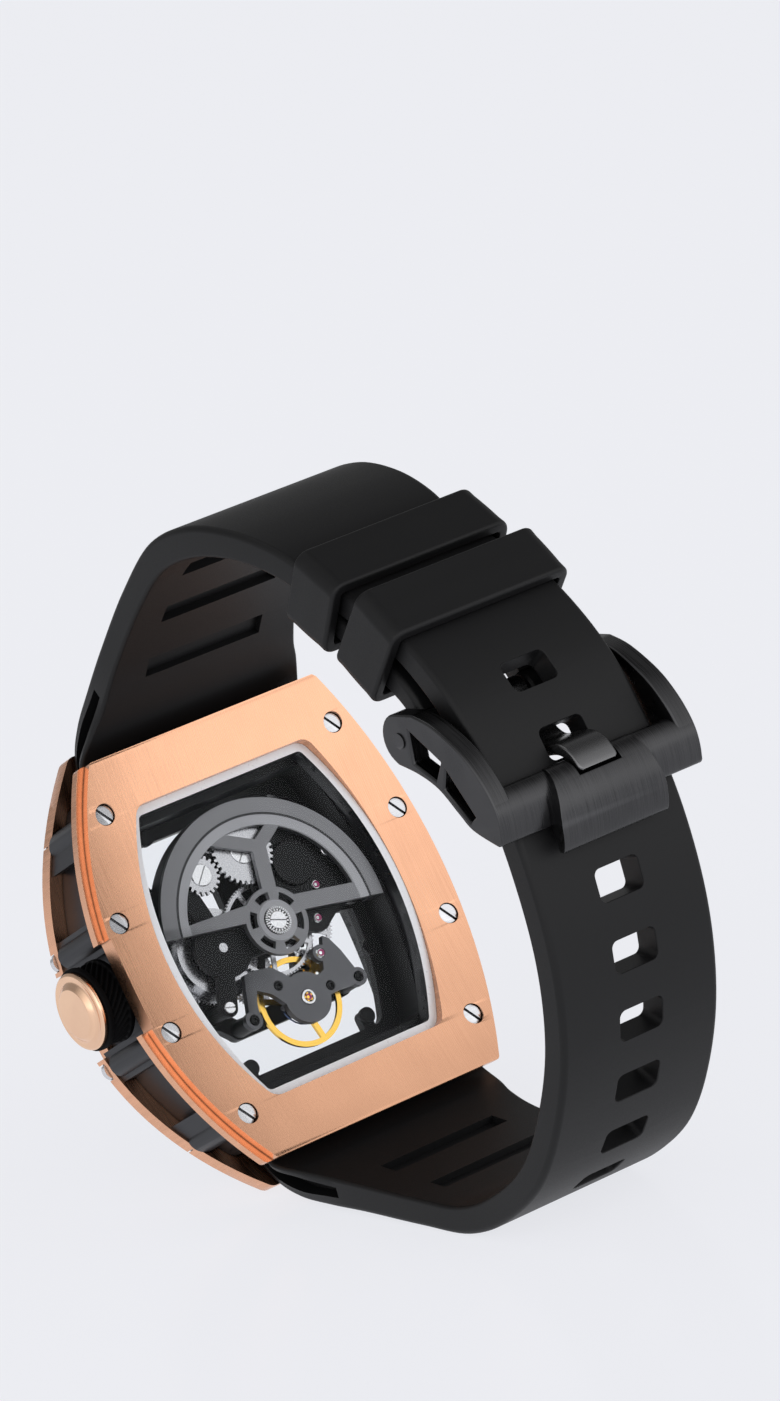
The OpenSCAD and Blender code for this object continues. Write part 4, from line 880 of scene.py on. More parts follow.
@dataclass
class Crown:
    """The crown with its cap, grip, ring and stem.

    Attributes:
        axis: The crown's axis, in y and z.
        start: Where the grip starts along x, next to the case.
        grip_l: Length of the rubber grip.
        grip_r: Radius of the grip's two rims.
        rim: Width of a rim.
        rim_soft: Radius of a rim's edges.
        rim_steps: Places of the rings along a rim.
        grip_steps: Steps along the grip between its rims.
        hollow: The grip's inside, each a place from its start and a radius.
        grooves: Number of slanted grooves.
        groove_steps: Steps round the axis in one groove.
        groove_d: Depth of a groove.
        slant: Turn of a groove from one rim to the other, in degrees.
        ridge: Middle and swing of the wave that gives the ridges' height, which is cut off at 0 and 1.
        run_out: Share of the grip, from each rim, over which the grooves run out.
        below: How far the ridges lie below the rims, and how much further away from the rims.
        tip: Where the cap ends along x.
        cap_steps: Steps round the axis in the cap.
        cap_profile: The cap's raised disc, step and rounded rim, each a depth below the tip and a radius.
    """

    axis: Point2 = (-6.9, 0.0)
    start: float = 19.4
    grip_l: float = 3.3
    grip_r: float = 4.5
    rim: float = 0.55
    rim_soft: float = 0.16
    rim_steps: tuple[float, ...] = (0.0, 0.03, 0.08, 0.16, 0.3, 0.45, 0.55)
    grip_steps: int = 18
    hollow: Outline = ((3.3, 0.7), (1.2, 0.7), (1.2, 3.4), (0.0, 3.4))
    grooves: int = 30
    groove_steps: int = 10
    groove_d: float = 0.34
    slant: float = 34.0
    ridge: Point2 = (0.62, 0.75)
    run_out: float = 0.07
    below: Point2 = (0.1, 0.06)
    tip: float = 23.9
    cap_steps: int = 96
    cap_profile: Outline = (
        (0.0, 2.55), (0.06, 2.72), (0.42, 3.1), (0.5, 3.2), (0.56, 3.34), (0.56, 3.72), (0.53, 3.82),
        (0.55, 3.98), (0.64, 4.12), (0.76, 4.2), (1.08, 4.2), (1.17, 4.16), (1.2, 4.06))

    def grip_radius(self, along: float, turn: float) -> float:
        """Radius of the grip's outside.

        Args:
            along: Distance from the grip's start.
            turn: Angle round the axis, in degrees.

        Returns:
            The radius in millimetres.
        """
        share = (along - self.rim) / (self.grip_l - 2 * self.rim)
        if share <= 0 or share >= 1:
            edge = min(along, self.grip_l - along)
            soft = self.rim_soft
            return self.grip_r - soft + math.sqrt(max(0.0, soft ** 2 - (soft - min(edge, soft)) ** 2))
        wave = math.cos(math.radians((turn + self.slant * share) * self.grooves))
        ridge = min(1.0, max(0.0, self.ridge[0] + self.ridge[1] * wave))
        ease = min(1.0, share / self.run_out, (1 - share) / self.run_out)
        return self.grip_r - self.below[0] - self.groove_d * (1 - ridge) * ease - self.below[1] * ease

    def grip(self) -> None:
        """Makes the rubber grip with its two rims and slanted grooves."""
        span, steps = self.grip_l - 2 * self.rim, self.grooves * self.groove_steps
        inside = [self.rim + span * i / self.grip_steps for i in range(1, self.grip_steps)]
        places = [*self.rim_steps, *inside, *(self.grip_l - s for s in reversed(self.rim_steps))]
        rings = []
        for turn in (360 * i / steps for i in range(steps)):
            ring = [(p, self.grip_radius(p, turn)) for p in places] + list(self.hollow)
            out = Vector((math.cos(math.radians(turn)), math.sin(math.radians(turn))))
            rings.append(placed([(self.start + p, r) for p, r in ring], Vector(self.axis), out))
        Piece("crown_grip_ribbed", "crown_grip", "crown", "rubber", Finishes.GRIP, sharp=50).build(
            Shape().loft(rings, closed=True))

    def cap(self) -> None:
        """Makes the gold cap and closes its two ends."""
        steps, size = self.cap_steps, len(self.cap_profile)
        profile = [(self.tip - deep, r) for deep, r in self.cap_profile]
        shape = Shape().spun(profile, self.axis, steps, whole=False)
        shape.faces.append(tuple(i * size for i in range(steps)))
        shape.faces.append(tuple(i * size + size - 1 for i in range(steps))[::-1])
        Piece("crown_cap_stepped", "crown_cap", "crown", "rose_gold", Finishes.ROSE_SATIN,
              sharp=32).build(shape)

    def build(self) -> None:
        """Makes the cap and the grip and dresses the rest."""
        self.cap()
        self.grip()
        dress("crown_ring", Finishes.ROSE_SATIN, 0.05)
        dress("crown_stem setting_slide", Finishes.STEEL, 0.03)


def washer(inner: float, outer: float, high: float, low: float) -> list[Point2]:
    """The profile of a flat ring between two radii and two depths below its top."""
    return [(inner, low), (inner, high), (outer, high), (outer, low)]


@dataclass
class Movement:
    """The plates, wheels, balance and rotor. Profiles give a radius and a depth below the top.

    Attributes:
        edge: Width of the broken edges of the plates.
        jewels: Places of the train's jewels, in x and z.
        balance: Place of the balance.
        rotor: Place of the rotor's axis.
        bridge_screws: Places of the bridges' bright screws.
        cock_screws: Places of the cock's black screws.
        jewel_top: Where the jewels and screws end along y.
        hub_top: Where the rotor's screw ends along y.
        wheel_top: Where the winding wheels end along y.
        stone: Profile of a jewel of the train.
        balance_stone: Profile of the balance's jewel.
        setting: Profile of the setting round the balance's jewel.
        hub: Profile of the rotor's screw.
        screw: Profile of a bright screw.
        black_screw: Profile of a black screw with its hexagon's room.
        slot_half: Half the width of a screw's slot.
        tooth_d: Depth of a winding wheel's teeth.
        core_h: Height of a winding wheel's core over the wheel.
        winding: For each winding wheel its name, node, body, place, radius, teeth and radius of the core.
    """

    edge: float = 0.05
    jewels: Outline = ((-3.91, 4.35), (-7.02, 2.33), (-5.48, -0.97), (-3.92, -4.47))
    balance: Point2 = (-0.2, -8.2)
    rotor: Point2 = (0.0, 0.3)
    bridge_screws: Outline = (
        (9.0, -6.0), (7.8, 7.6), (3.0, 10.2), (-10.6, 0.2), (-10.0, 5.3), (-3.4, 10.6))
    cock_screws: Outline = ((6.9, -8.2), (-6.9, -8.3), (2.5, -5.9), (-3.3, -8.0))
    jewel_top: float = -2.95
    hub_top: float = -1.5
    wheel_top: float = -2.45
    stone: Outline = ((0.12, 0.3), (0.12, 0.12), (0.3, 0.02), (0.36, 0.05), (0.36, 0.3))
    balance_stone: Outline = ((0.06, 0.3), (0.06, 0.1), (0.28, 0.0), (0.34, 0.04), (0.34, 0.3))
    setting: Outline = ((0.52, 0.3), (0.52, 0.06), (0.58, 0.0), (0.78, 0.0), (0.84, 0.05), (0.84, 0.3))
    hub: Outline = ((0.02, 0.34), (0.02, 0.0), (0.92, 0.0), (0.98, 0.05), (0.98, 0.34))
    screw: Outline = ((0.02, 0.34), (0.02, 0.0), (0.58, 0.0), (0.64, 0.06), (0.64, 0.34))
    black_screw: Outline = ((0.2, 0.36), (0.2, 0.1), (0.3, 0.04), (0.46, 0.04), (0.52, 0.1), (0.52, 0.36))
    slot_half: float = 0.08
    tooth_d: float = 0.36
    core_h: float = 0.12
    winding: tuple[tuple, ...] = (
        ("crown_wheel_toothed", "crown_wheel", "crown_gear", (5.61, 7.79), 2.2, 20, 1.2),
        ("ratchet_wheel_toothed", "ratchet_wheel", "ratchet", (-0.2, 8.5), 3.62, 33, 1.4))

    def make(self, name: str, where: str, look: Look, shape: Shape, cuts: Sequence[Shape] = ()) -> None:
        """Makes one small piece, with its node, body and material slot in one text, parted by blanks."""
        Piece(name, *where.split(), look, cuts, sharp=35).build(shape)

    def slot(self, centre: Point2, half: float, top: float, deep: float, turn: float) -> Shape:
        """The tool for a screw's slot.

        Args:
            centre: Where the screw lies, in x and z.
            half: Half the slot's length.
            top: Where the screw's head ends along y.
            deep: Depth of the slot.
            turn: The slot's angle, in degrees.

        Returns:
            The tool.
        """
        c, s = math.cos(math.radians(turn)), math.sin(math.radians(turn))
        wide, above = self.slot_half, top + 0.5
        return Shape().loft([
            [(centre[0] + end * c - w * s, y, centre[1] + end * s + w * c)
             for w, y in ((-wide, top - deep), (wide, top - deep), (wide, above), (-wide, above))]
            for end in (-half, half)])

    def make_jewels(self) -> None:
        """Makes the jewels, each a dished stone with a hole, and the rings in which they sit."""
        top = self.jewel_top
        stones, settings = Shape(), Shape().turned(self.setting, self.balance, top)
        for centre in self.jewels:
            stones.turned(self.stone, centre, top, 32)
            settings.turned(washer(0.37, 0.44, 0.1, 0.3), centre, top, 32)
        stones.turned(self.balance_stone, self.balance, top, 40)
        gilt = Shape().turned(washer(0.35, 0.5, 0.07, 0.3), self.balance, top, 60, 5)
        self.make("jewel_stones", "jewels watch jewel", Finishes.RUBY, stones)
        self.make("jewel_settings", "jewels watch jewel", Finishes.SILVER, settings)
        self.make("jewel_gilt_ring", "jewels watch jewel", Finishes.BRASS, gilt)

    def make_hub(self) -> None:
        """Makes the rotor's slotted screw and the toothed rings round it."""
        where, top = "rotor_screw rotor screw_steel", self.hub_top
        self.make("rotor_screw_head", where, Finishes.SILVER, Shape().turned(self.hub, self.rotor, top),
                  [self.slot(self.rotor, 1.2, top, 0.16, 20)])
        rings = Shape().turned(washer(1.0, 1.22, 0.08, 0.34), self.rotor, top, 160, 20)
        rings.turned(washer(1.28, 1.52, 0.03, 0.34), self.rotor, top, 288, 36)
        self.make("rotor_screw_rings", where, Finishes.SILVER, rings)

    def make_screws(self) -> None:
        """Makes the bridges' bright slotted screws and the cock's black screws."""
        where, top = "bridge_screws watch screw_steel", self.jewel_top
        bright, black, slots = Shape(), Shape(), []
        for i, centre in enumerate(self.bridge_screws):
            bright.turned(self.screw, centre, top, 40)
            slots.append(self.slot(centre, 0.8, top, 0.14, 47 * i + 15))
        for centre in self.cock_screws:
            black.turned(self.black_screw, centre, top, 32)
        self.make("bridge_screws_slotted", where, Finishes.SILVER, bright, slots)
        self.make("cock_screws_black", where, Finishes.BRIDGE, black)

    def make_winding(self) -> None:
        """Makes the crown wheel and the ratchet wheel with open teeth and a slotted core."""
        for name, node, body, centre, reach, teeth, core in self.winding:
            where, top = f"{node} {body} wheel_steel", self.wheel_top
            face, high = top + self.core_h, self.core_h
            wheel = washer(0.3, reach, 0.0, 0.4)
            self.make(name, where, Finishes.WHEEL,
                      Shape().turned(wheel, centre, top, teeth * 8, teeth, self.tooth_d))
            profile = ((0.02, high), (0.02, 0.0), (core - 0.06, 0.0), (core, 0.06), (core, high))
            self.make(f"{node}_core", where, Finishes.SILVER, Shape().turned(profile, centre, face, 48),
                      [self.slot(centre, core + 0.2, face, 0.1, 135)])

    def build(self) -> None:
        """Makes the jewels, the screws, the winding wheels and the rotor's hub and dresses the rest."""
        self.make_jewels()
        self.make_hub()
        self.make_screws()
        self.make_winding()
        dress("main_plate barrel_bridge train_bridge winding_wheel", Finishes.BRIDGE, self.edge)
        dress("balance_cock", Finishes.GREY, 0.08)
        dress("mainspring_barrel center_wheel third_wheel fourth_wheel fifth_wheel minute_wheel hour_wheel",
              Finishes.WHEEL, 0.02)
        dress("escape_wheel pallet_fork cannon_pinion", Finishes.POLISHED, 0.02)
        dress("balance_wheel", Finishes.BRASS, 0.03)
        dress("hairspring", Finishes.BLUED)
        dress("rotor_web", Finishes.ROTOR, 0.06)
        dress("rotor_weight", Finishes.DARK_GREY, 0.08)
        dress("rotor_bearing", Finishes.POLISHED, 0.04)
        dress("dial_ring", Finishes.DIAL, self.edge)
        dress("hour_hand minute_hand", Finishes.POLISHED, 0.03)


def catmull(points: Sequence[Sequence[float]], steps: int) -> list[tuple[float, ...]]:
    """A smooth curve through points.

    Args:
        points: The points, each with the same number of values.
        steps: Number of pieces between two points.

    Returns:
        The curve's points.
    """
    made: list[tuple[float, ...]] = []
    last = len(points) - 1
    for i in range(last):
        near = zip(points[max(i - 1, 0)], points[i], points[i + 1], points[min(i + 2, last)])
        spans = [(2 * q, r - p, 2 * p - 5 * q + 4 * r - s, 3 * q - p - 3 * r + s) for p, q, r, s in near]
        for t in (j / steps for j in range(steps)):
            made.append(tuple(0.5 * (a + b * t + c * t * t + d * t ** 3) for a, b, c, d in spans))
    made.append(tuple(points[last]))
    return made


@dataclass
class Band:
    """One strap of rubber between its inner and its outer face.

    Attributes:
        node: The node that it replaces.
        inner: Points along the inner face, each y, z and half width.
        outer: Points along the outer face.
        side: 1 for the strap above the case and -1 for the one below.
        grooves: Grooves across the inner face, each y, z above the case and slope in degrees.
        groove: Side view of a groove, each point a distance along the strap and a height.
        groove_half: Half the groove's length.
        notch: The notch for the case's middle, from corner to corner, for the upper strap.
        pocket_l: Length of the pocket in each side, from the case.
        pocket_d: Depth of a pocket.
        pocket_walls: Rubber that stays on a pocket's inner and outer side.
        edge_in: Radius of the inner edges.
        edge_out: Radius of the outer edges.
        steps: Rings between two points.
    """

    node: str
    inner: list[Point3]
    outer: list[Point3]
    side: int
    grooves: tuple[Point3, ...] = ((8.6, 28.5, 33.0), (15.9, 32.1, 24.0), (23.5, 34.5, 6.0))
    groove: Outline = ((-1.45, -2.0), (1.45, -2.0), (1.2, 0.75), (-1.2, 0.75))
    groove_half: float = 7.4
    notch: tuple[Point3, Point3] = ((-3.3, -12.0, 15.0), (3.3, -0.8, 23.4))
    pocket_l: float = 13.2
    pocket_d: float = 1.5
    pocket_walls: Point2 = (1.0, 1.3)
    edge_in: float = 0.4
    edge_out: float = 0.65
    steps: int = 8

    def rows(self) -> list[Row]:
        """Each ring's inner and outer point in y and z, and its two half widths."""
        pairs = zip(catmull(self.inner, self.steps), catmull(self.outer, self.steps))
        return [(Vector(a[:2]), Vector(b[:2]), a[2], b[2]) for a, b in pairs]

    def run(self, rows: Sequence[Row]) -> tuple[list[Vector], list[float]]:
        """The middle of each row, and the length along the strap up to there."""
        middles = [(a + b) / 2 for a, b, _, _ in rows]
        return middles, [0.0, *accumulate((q - p).length for p, q in zip(middles, middles[1:]))]

    def ring(self, row: Row) -> Ring:
        """The rounded section of one row.

        Args:
            row: The row.

        Returns:
            The section's points.
        """
        a, b, wide_in, wide_out = row
        deep = (b - a).length
        right = arc((wide_in - self.edge_in, self.edge_in), self.edge_in, -90)
        right += arc((wide_out - self.edge_out, deep - self.edge_out), self.edge_out, 0)
        return placed(right + [(-x, s) for x, s in reversed(right)], a, (b - a) / deep)

    def pocket(self, side: int) -> Shape:
        """The pocket in one side, next to the case.

        Args:
            side: 1 for the crown's side and -1 for the other.

        Returns:
            The tool.
        """
        rings = []
        rows = self.rows()
        for (a, b, wide_in, wide_out), far in zip(rows, self.run(rows)[1]):
            if far > self.pocket_l:
                break
            deep = (b - a).length
            low, high = self.pocket_walls[0], deep - self.pocket_walls[1]
            wide = min(wide_in, wide_out)
            near, past = side * (wide - self.pocket_d), side * (wide + 3)
            rings.append(placed([(near, low), (past, low), (past, high), (near, high)], a, (b - a) / deep))
        return Shape().loft(rings)

    def furrow(self, y: float, z: float, slope: float) -> Shape:
        """A shallow straight groove across the inner face.

        Args:
            y: Where it lies out of the case back.
            z: Where it lies, away from the case.
            slope: The strap's slope there, in degrees.

        Returns:
            The tool.
        """
        turn = math.radians(self.side * slope)
        along = Vector((math.cos(turn), math.sin(turn)))
        up = Vector((-math.sin(turn), math.cos(turn))) * self.side
        spots = [Vector((y, self.side * z)) + along * n + up * t for n, t in self.groove]
        return Shape().slab(spots, -self.groove_half, self.groove_half)

    def cuts(self) -> list[Shape]:
        """Makes the tools for the notch, the pockets and the grooves.

        Returns:
            Everything that is cut out of the strap.
        """
        (x0, y0, z0), (x1, y1, z1) = self.notch
        low, high = sorted((self.side * z0, self.side * z1))
        furrows = [self.furrow(*groove) for groove in self.grooves]
        return [Shape().block((x0, y0, low), (x1, y1, high)), self.pocket(1), self.pocket(-1), *furrows]

    def build(self) -> None:
        """Makes the strap."""
        skin = Shape().loft([self.ring(row) for row in self.rows()])
        Piece(f"{self.node}_rubber", self.node, "watch", "rubber", Finishes.RUBBER, self.cuts(),
              sharp=38).build(skin)


@dataclass
class ShortBand(Band):
    """The strap that ends in the buckle's bar.

    Attributes:
        bar: The buckle bar's axis, in y and z.
        barrel: Radius of the rubber round the bar.
        bore: Radius of its hole.
        soft: Size of its broken edges.
        half: Its half width.
        slot: Half width of the slot for the tongue.
        slot_span: From and to where the slot goes round the bar's axis, in y and z.
    """

    bar: Point2 = (52.9, 6.8)
    barrel: float = 1.9
    bore: float = 0.5
    soft: float = 0.25
    half: float = 9.55
    slot: float = 2.8
    slot_span: tuple[Point2, Point2] = ((-6.0, -6.0), (6.0, 3.1))

    def build(self) -> None:
        """Makes the strap and the rubber round the bar, on both sides of the tongue."""
        super().build()
        for name, side in (("left", -1), ("right", 1)):
            low, high = sorted((side * self.slot, side * self.half))
            profile = [(low, self.bore), (low, self.barrel - self.soft), (low + self.soft, self.barrel),
                       (high - self.soft, self.barrel), (high, self.barrel - self.soft), (high, self.bore)]
            Piece(f"strap_short_barrel_{name}", self.node, "watch", "rubber", Finishes.RUBBER).build(
                Shape().spun(profile, self.bar, 48))

    def cuts(self) -> list[Shape]:
        """Adds the slot for the tongue.

        Returns:
            Everything that is cut out of the strap.
        """
        low, high = ((side * self.slot, self.bar[0] + y, self.bar[1] + z)
                     for side, (y, z) in zip((-1, 1), self.slot_span))
        return super().cuts() + [Shape().block(low, high)]


@dataclass
class LongBand(Band):
    """The strap with the tongue holes.

    Attributes:
        count: Number of holes.
        pitch: Distance from one hole to the next.
        first: Height z of the first hole, on the rising end.
        rising: Where the rising end starts along y.
        hole: Half the width and half the length of a hole.
        corner: Radius of a hole's corners.
        soft: Radius of the rounding round a hole.
    """

    count: int = 9
    pitch: float = 7.1
    first: float = 7.3
    rising: float = 45.0
    hole: Point2 = (2.7, 1.7)
    corner: float = 0.7
    soft: float = 0.16

    def hole_at(self, spot: Vector, out: Vector, deep: float) -> Shape:
        """The tool for one hole, flared at both faces.

        Args:
            spot: Its middle, in y and z.
            out: Its direction.
            deep: Thickness of the strap there.

        Returns:
            The tool.
        """
        levels = [(-deep / 2 - 1.0, self.soft), (-deep / 2, self.soft)]
        for u in (self.soft * k / 4 for k in range(1, 5)):
            levels.append((u - deep / 2, self.soft - math.sqrt(self.soft ** 2 - (self.soft - u) ** 2)))
        levels += [(-n, grow) for n, grow in reversed(levels)]
        rings = []
        for n, grow in levels:
            section = rounded(self.hole[0] + grow, self.hole[1] + grow, self.corner + grow, 5)
            rings.append(placed(section, spot + out * n, Vector((-out.y, out.x))))
        return Shape().loft(rings)

    def cuts(self) -> list[Shape]:
        """Adds the holes, spaced along the middle of the strap.

        Returns:
            Everything that is cut out of the strap.
        """
        rows = self.rows()
        middles, run = self.run(rows)
        start = 0.0
        for i, (here, there) in enumerate(zip(middles, middles[1:])):
            if there.x > self.rising and here.y <= self.first <= there.y:
                start = run[i] + (self.first - here.y) / (there.y - here.y) * (run[i + 1] - run[i])
        made = super().cuts()
        for far in (start - k * self.pitch for k in range(self.count)):
            i = next(n for n in range(1, len(run)) if run[n] >= far)
            spot = middles[i - 1].lerp(middles[i], (far - run[i - 1]) / (run[i] - run[i - 1]))
            along = (middles[i] - middles[i - 1]).normalized()
            made.append(self.hole_at(spot, Vector((along.y, -along.x)), (rows[i][1] - rows[i][0]).length))
        return made


@dataclass
class Keeper:
    """A rubber loop round both straps.

    Attributes:
        node: The node that it replaces.
        body: The body that it rides on.
        across: From the inner to the outer inside face, along the loop's normal.
        start: Where the loop starts along the strap.
        along: The loop's direction along the strap, in y and z.
        normal: Its normal, in y and z.
        half: Half the clear width.
        wall: Thickness of the wall.
        length: Length along the strap.
        corner: Radius of the inside corners.
        crown: Height of the crown of the outer face.
        soft_in: Radius of the inner edges.
        soft_out: Radius of the outer edges.
    """

    node: str
    body: str
    across: Point2
    start: float
    along: Point2
    normal: Point2
    half: float = 10.0
    wall: float = 1.2
    length: float = 6.3
    corner: float = 0.35
    crown: float = 0.1
    soft_in: float = 0.15
    soft_out: float = 0.42

    def section(self) -> list[Point2]:
        """The wall's section.

        Returns:
            Its points, each a place along the strap and a height above the inside.
        """
        right = arc((self.length - self.soft_in, self.soft_in), self.soft_in, -90)
        right += arc((self.length - self.soft_out, self.wall - self.soft_out), self.soft_out, 0)
        top = [(self.length * share, self.wall - self.crown * (2 * share - 1) ** 2)
               for share in (0.8, 0.65, 0.5, 0.35, 0.2)]
        return right + top + [(self.length - t, h) for t, h in reversed(right)]

    def build(self) -> None:
        """Makes the loop."""
        n0, n1 = self.across
        r, wide = self.corner, self.half - self.corner
        rings = []
        corners = ((wide, n0 + r, -90), (wide, n1 - r, 0), (-wide, n1 - r, 90), (-wide, n0 + r, 180))
        for x, n, first in corners:
            for out_x, out_n in arc((0.0, 0.0), 1.0, first, 8):
                rings.append([])
                for t, h in self.section():
                    deep, far = n + (r + h) * out_n, self.start + t
                    rings[-1].append((x + (r + h) * out_x, deep * self.normal[0] + far * self.along[0],
                                      deep * self.normal[1] + far * self.along[1]))
        Piece(f"{self.node}_rubber", self.node, self.body, "rubber", Finishes.RUBBER, sharp=50).build(
            Shape().loft(rings, closed=True))


@dataclass
class Strap:
    """The two straps, their bars and the keepers."""

    def build(self) -> None:
        """Makes the straps and the keepers and dresses the bars."""
        ShortBand(
            "strap_short",
            [(-0.73, 20.2, 13.4), (-0.29, 22.5, 14.3), (2.6, 24.6, 13.6), (5.2, 26.3, 12.7),
             (10.5, 29.6, 11.9), (18.5, 32.9, 11.6), (25.2, 34.6, 11.4), (31.2, 33.9, 11.2),
             (36.8, 31.5, 10.8), (41.0, 28.2, 10.2), (43.2, 25.2, 9.7), (44.2, 21.9, 9.6),
             (46.3, 18.8, 9.6), (50.7, 11.3, 9.6), (51.7, 8.3, 9.6)],
            [(-7.21, 20.2, 12.0), (-4.79, 24.3, 12.2), (-1.59, 27.0, 12.1), (3.0, 29.4, 12.0),
             (9.0, 32.2, 11.9), (17.2, 35.7, 11.6), (25.1, 37.9, 11.4), (32.3, 37.0, 11.2),
             (38.6, 34.0, 10.8), (43.4, 30.1, 10.2), (45.8, 26.6, 9.7), (46.1, 22.9, 9.6),
             (48.1, 20.1, 9.6), (52.9, 12.4, 9.6), (53.8, 8.6, 9.6)],
            side=1).build()
        LongBand(
            "strap_long",
            [(-0.73, -20.2, 13.4), (-0.29, -22.5, 14.3), (2.6, -24.6, 13.6), (5.0, -26.2, 12.7),
             (9.2, -28.7, 11.8), (16.4, -32.5, 11.1), (22.4, -35.3, 10.6), (28.4, -35.9, 10.3),
             (35.5, -34.7, 10.2), (42.0, -31.0, 10.1), (48.2, -25.5, 10.0), (53.0, -18.2, 10.0),
             (56.0, -9.5, 10.0), (57.2, -1.0, 9.9), (56.6, 7.0, 9.8), (53.8, 14.2, 9.7),
             (49.3, 19.6, 9.6), (46.9, 22.4, 9.5)],
            [(-7.21, -20.2, 12.0), (-4.79, -24.3, 12.2), (-1.79, -27.0, 12.1), (2.6, -29.2, 12.0),
             (7.6, -31.5, 11.7), (15.2, -35.3, 11.1), (21.8, -38.3, 10.6), (28.4, -38.9, 10.3),
             (36.5, -37.5, 10.2), (43.9, -33.4, 10.1), (50.6, -27.4, 10.0), (55.8, -19.5, 10.0),
             (59.0, -10.3, 10.0), (60.2, -1.1, 9.9), (59.6, 7.4, 9.8), (56.2, 15.8, 9.7),
             (51.4, 21.5, 9.6), (48.5, 24.6, 9.4)],
            side=-1).build()
        Keeper("keeper_sliding", "keeper", (48.4, 54.7), 4.4, (0.57, -0.82), (0.82, 0.57)).build()
        Keeper("keeper_fixed", "watch", (50.0, 57.8), 4.1, (0.427, -0.904), (0.904, 0.427)).build()
        dress("strap_bars", Finishes.STEEL, 0.05)


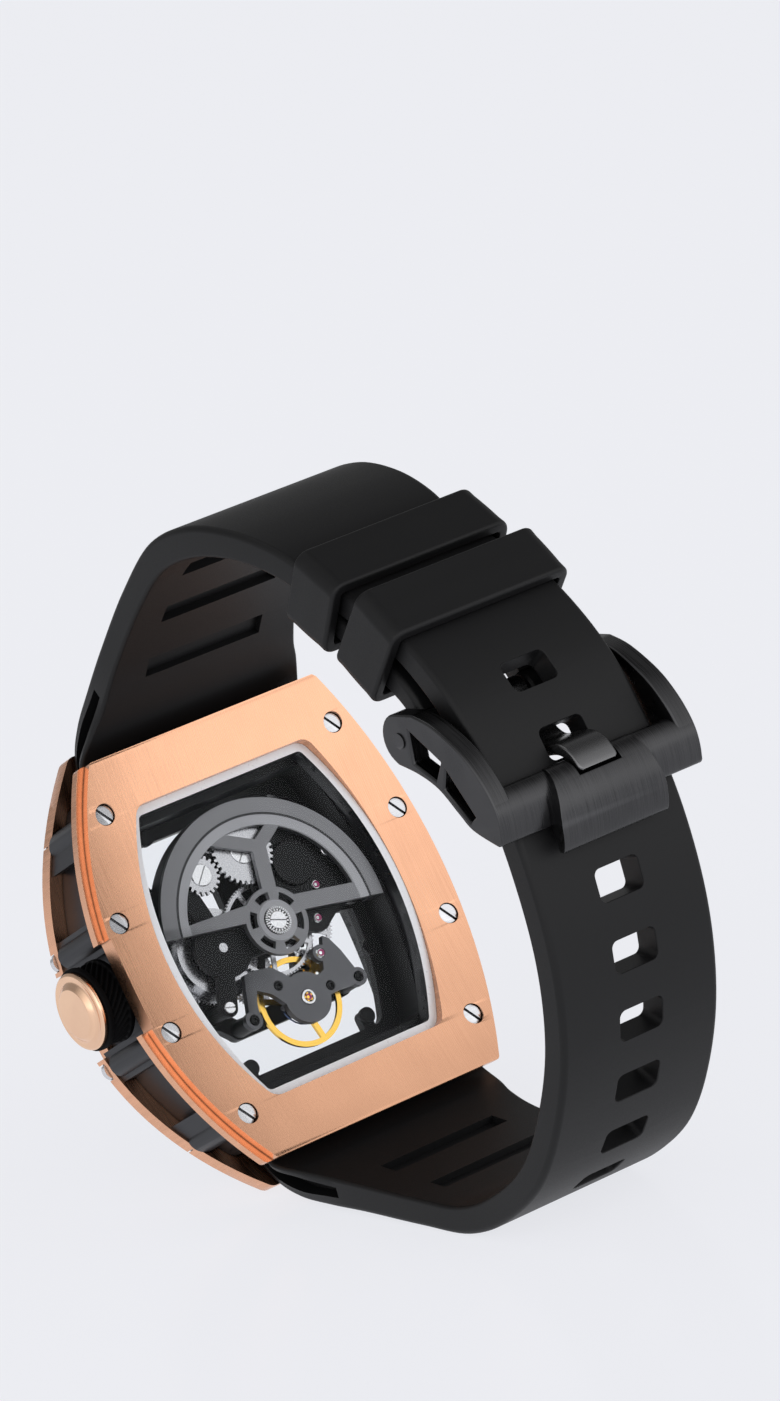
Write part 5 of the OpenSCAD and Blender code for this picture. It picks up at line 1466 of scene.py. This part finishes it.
@dataclass
class Buckle:
    """The buckle's frame, tongue and bar.

    Attributes:
        arm: Where an arm lies along x, from its inner to its outer face.
        bar: The bar's axis, in y and z.
        disc_r: Radius of an arm's round end.
        disc_turn: First angle, end and step of the round end's points, in degrees.
        lower: The arm's lower edge, each point y and z.
        upper: The arm's upper edge.
        windows: The two windows through an arm.
        beam: Side view of the cross piece.
        beam_in: How far the cross piece ends inside the arms' outer faces.
        flap: Side view of the flap over the cross piece, from its lower end outwards and up.
        flap_half: Half width of the flap at its top and at its lower end.
        flap_span: Height z from which the flap widens downwards, and the height over which it does.
        notch: The space for the end of the tongue, from and to, in y and z.
        room: Space at each side of the tongue's end.
        path: Middle line of the tongue from the bar.
        tongue: Half the width and half the thickness of the tongue.
        tongue_corner: Radius of the tongue's edges.
        taper: Share by which the tongue is slimmer at its end.
        eye: Inner and outer radius of the tongue's eye.
    """

    arm: Point2 = (10.6, 12.7)
    bar: Point2 = (52.9, 6.8)
    disc_r: float = 2.7
    disc_turn: tuple[int, int, int] = (66, 215, 12)
    lower: Outline = ((50.9, 4.9), (53.3, 3.0), (55.3, 0.7), (56.6, -2.4), (57.6, -4.5), (60.3, -7.1))
    upper: Outline = (
        (61.2, -7.1), (62.2, -5.2), (62.6, -3.1), (62.3, -0.3), (61.2, 2.8), (58.8, 6.3), (56.5, 8.3))
    windows: tuple[Outline, ...] = (((54.9, 7.2), (57.6, 2.9), (55.6, 1.6), (53.4, 4.2)),
                                    ((57.8, 2.0), (58.9, -3.4), (57.8, -3.6), (56.2, 0.5)))
    beam: Outline = (
        (60.5, -7.0), (61.1, -7.1), (61.9, -6.0), (62.5, -4.4), (62.55, -3.2), (62.1, -2.2), (61.3, -1.95),
        (60.5, -2.6))
    beam_in: float = 0.1
    flap: Outline = (
        (60.35, -9.8), (61.0, -10.05), (62.0, -9.0), (62.9, -7.3), (63.35, -5.6), (63.4, -4.2),
        (63.1, -3.0), (62.5, -2.2), (61.8, -1.9), (61.2, -2.4), (60.9, -4.0), (60.8, -7.1))
    flap_half: Point2 = (5.3, 6.6)
    flap_span: Point2 = (-1.9, 5.5)
    notch: tuple[Point2, Point2] = ((61.0, -3.95), (66.0, 0.0))
    room: float = 0.25
    path: Outline = (
        (54.2, 5.0), (55.3, 3.0), (55.9, 1.5), (57.2, 0.3), (59.9, -0.25), (61.5, -0.85), (62.5, -2.0),
        (62.95, -3.7))
    tongue: Point2 = (2.4, 0.6)
    tongue_corner: float = 0.28
    taper: float = 0.12
    eye: Point2 = (0.9, 1.7)

    def make(self, name: str, shape: Shape, cuts: Sequence[Shape], edge: float) -> None:
        """Makes one piece of the frame, less its cuts, with broken edges."""
        Piece(name, "buckle_frame", "buckle", "buckle_black", Finishes.BUCKLE, cuts, edge, 35).build(shape)

    def make_arms(self) -> None:
        """Makes the two arms with their round ends and windows."""
        (y, z), r = self.bar, self.disc_r
        turns = [math.radians(turn) for turn in range(*self.disc_turn)]
        disc = [(y + r * math.cos(t), z + r * math.sin(t)) for t in turns]
        outline = disc + catmull(self.lower, 5) + catmull(self.upper, 5)
        for name, side in (("left", -1), ("right", 1)):
            low, high = sorted((side * self.arm[0], side * self.arm[1]))
            cuts = [Shape().slab(window, low - 1, high + 1) for window in self.windows]
            self.make(f"buckle_arm_{name}", Shape().slab(outline, low, high), cuts, 0.22)

    def make_front(self) -> None:
        """Makes the cross piece and the flap that widens downwards."""
        half = self.tongue[0] + self.room
        notch = Shape().block((-half, *self.notch[0]), (half, *self.notch[1]))
        reach = self.arm[1] - self.beam_in
        self.make("buckle_beam", Shape().slab(catmull(self.beam, 4), -reach, reach), [notch], 0.15)
        (top, low), (start, span) = self.flap_half, self.flap_span
        outline = [(top + (low - top) * min(1.0, (start - z) / span), y, z) for y, z in catmull(self.flap, 4)]
        rings = [[(end * wide, y, z) for wide, y, z in outline] for end in (-1, 1)]
        self.make("buckle_flap", Shape().loft(rings), [notch], 0.22)

    def make_tongue(self) -> None:
        """Makes the tongue, a bent strip that narrows at its end, and its eye round the bar."""
        middle = [Vector(spot) for spot in catmull(self.path, 6)]
        half, thick = self.tongue
        last = len(middle) - 1
        rings = []
        for i, spot in enumerate(middle):
            along = (middle[min(i + 1, last)] - middle[max(i - 1, 0)]).normalized()
            keep = 1 - self.taper * max(0.0, 1 - (last - i) / 2) ** 2
            section = rounded(half * keep, thick * keep, self.tongue_corner, 3)
            rings.append(placed(section, spot, Vector((-along.y, along.x))))
        inner, outer = self.eye
        eye = [(-half, inner), (-half, outer), (half, outer), (half, inner)]
        for name, shape in (("strip", Shape().loft(rings)), ("eye", Shape().spun(eye, self.bar, 40))):
            Piece(f"buckle_tongue_{name}", "buckle_tongue", "tongue", "buckle_black",
                  Finishes.TONGUE).build(shape)

    def build(self) -> None:
        """Makes the frame and the tongue and dresses the bar."""
        self.make_arms()
        self.make_front()
        self.make_tongue()
        dress("buckle_bar", Finishes.BUCKLE, 0.15)


def main() -> None:
    """Builds the studio and every part of the watch, in order."""
    logging.basicConfig(level=logging.INFO, format="%(name)s: %(message)s")
    for part in (Studio(), Case(), Crown(), Movement(), Strap(), Buckle()):
        part.build()
        LOG.info("built %s", type(part).__name__)


if __name__ == "__main__":
    main()
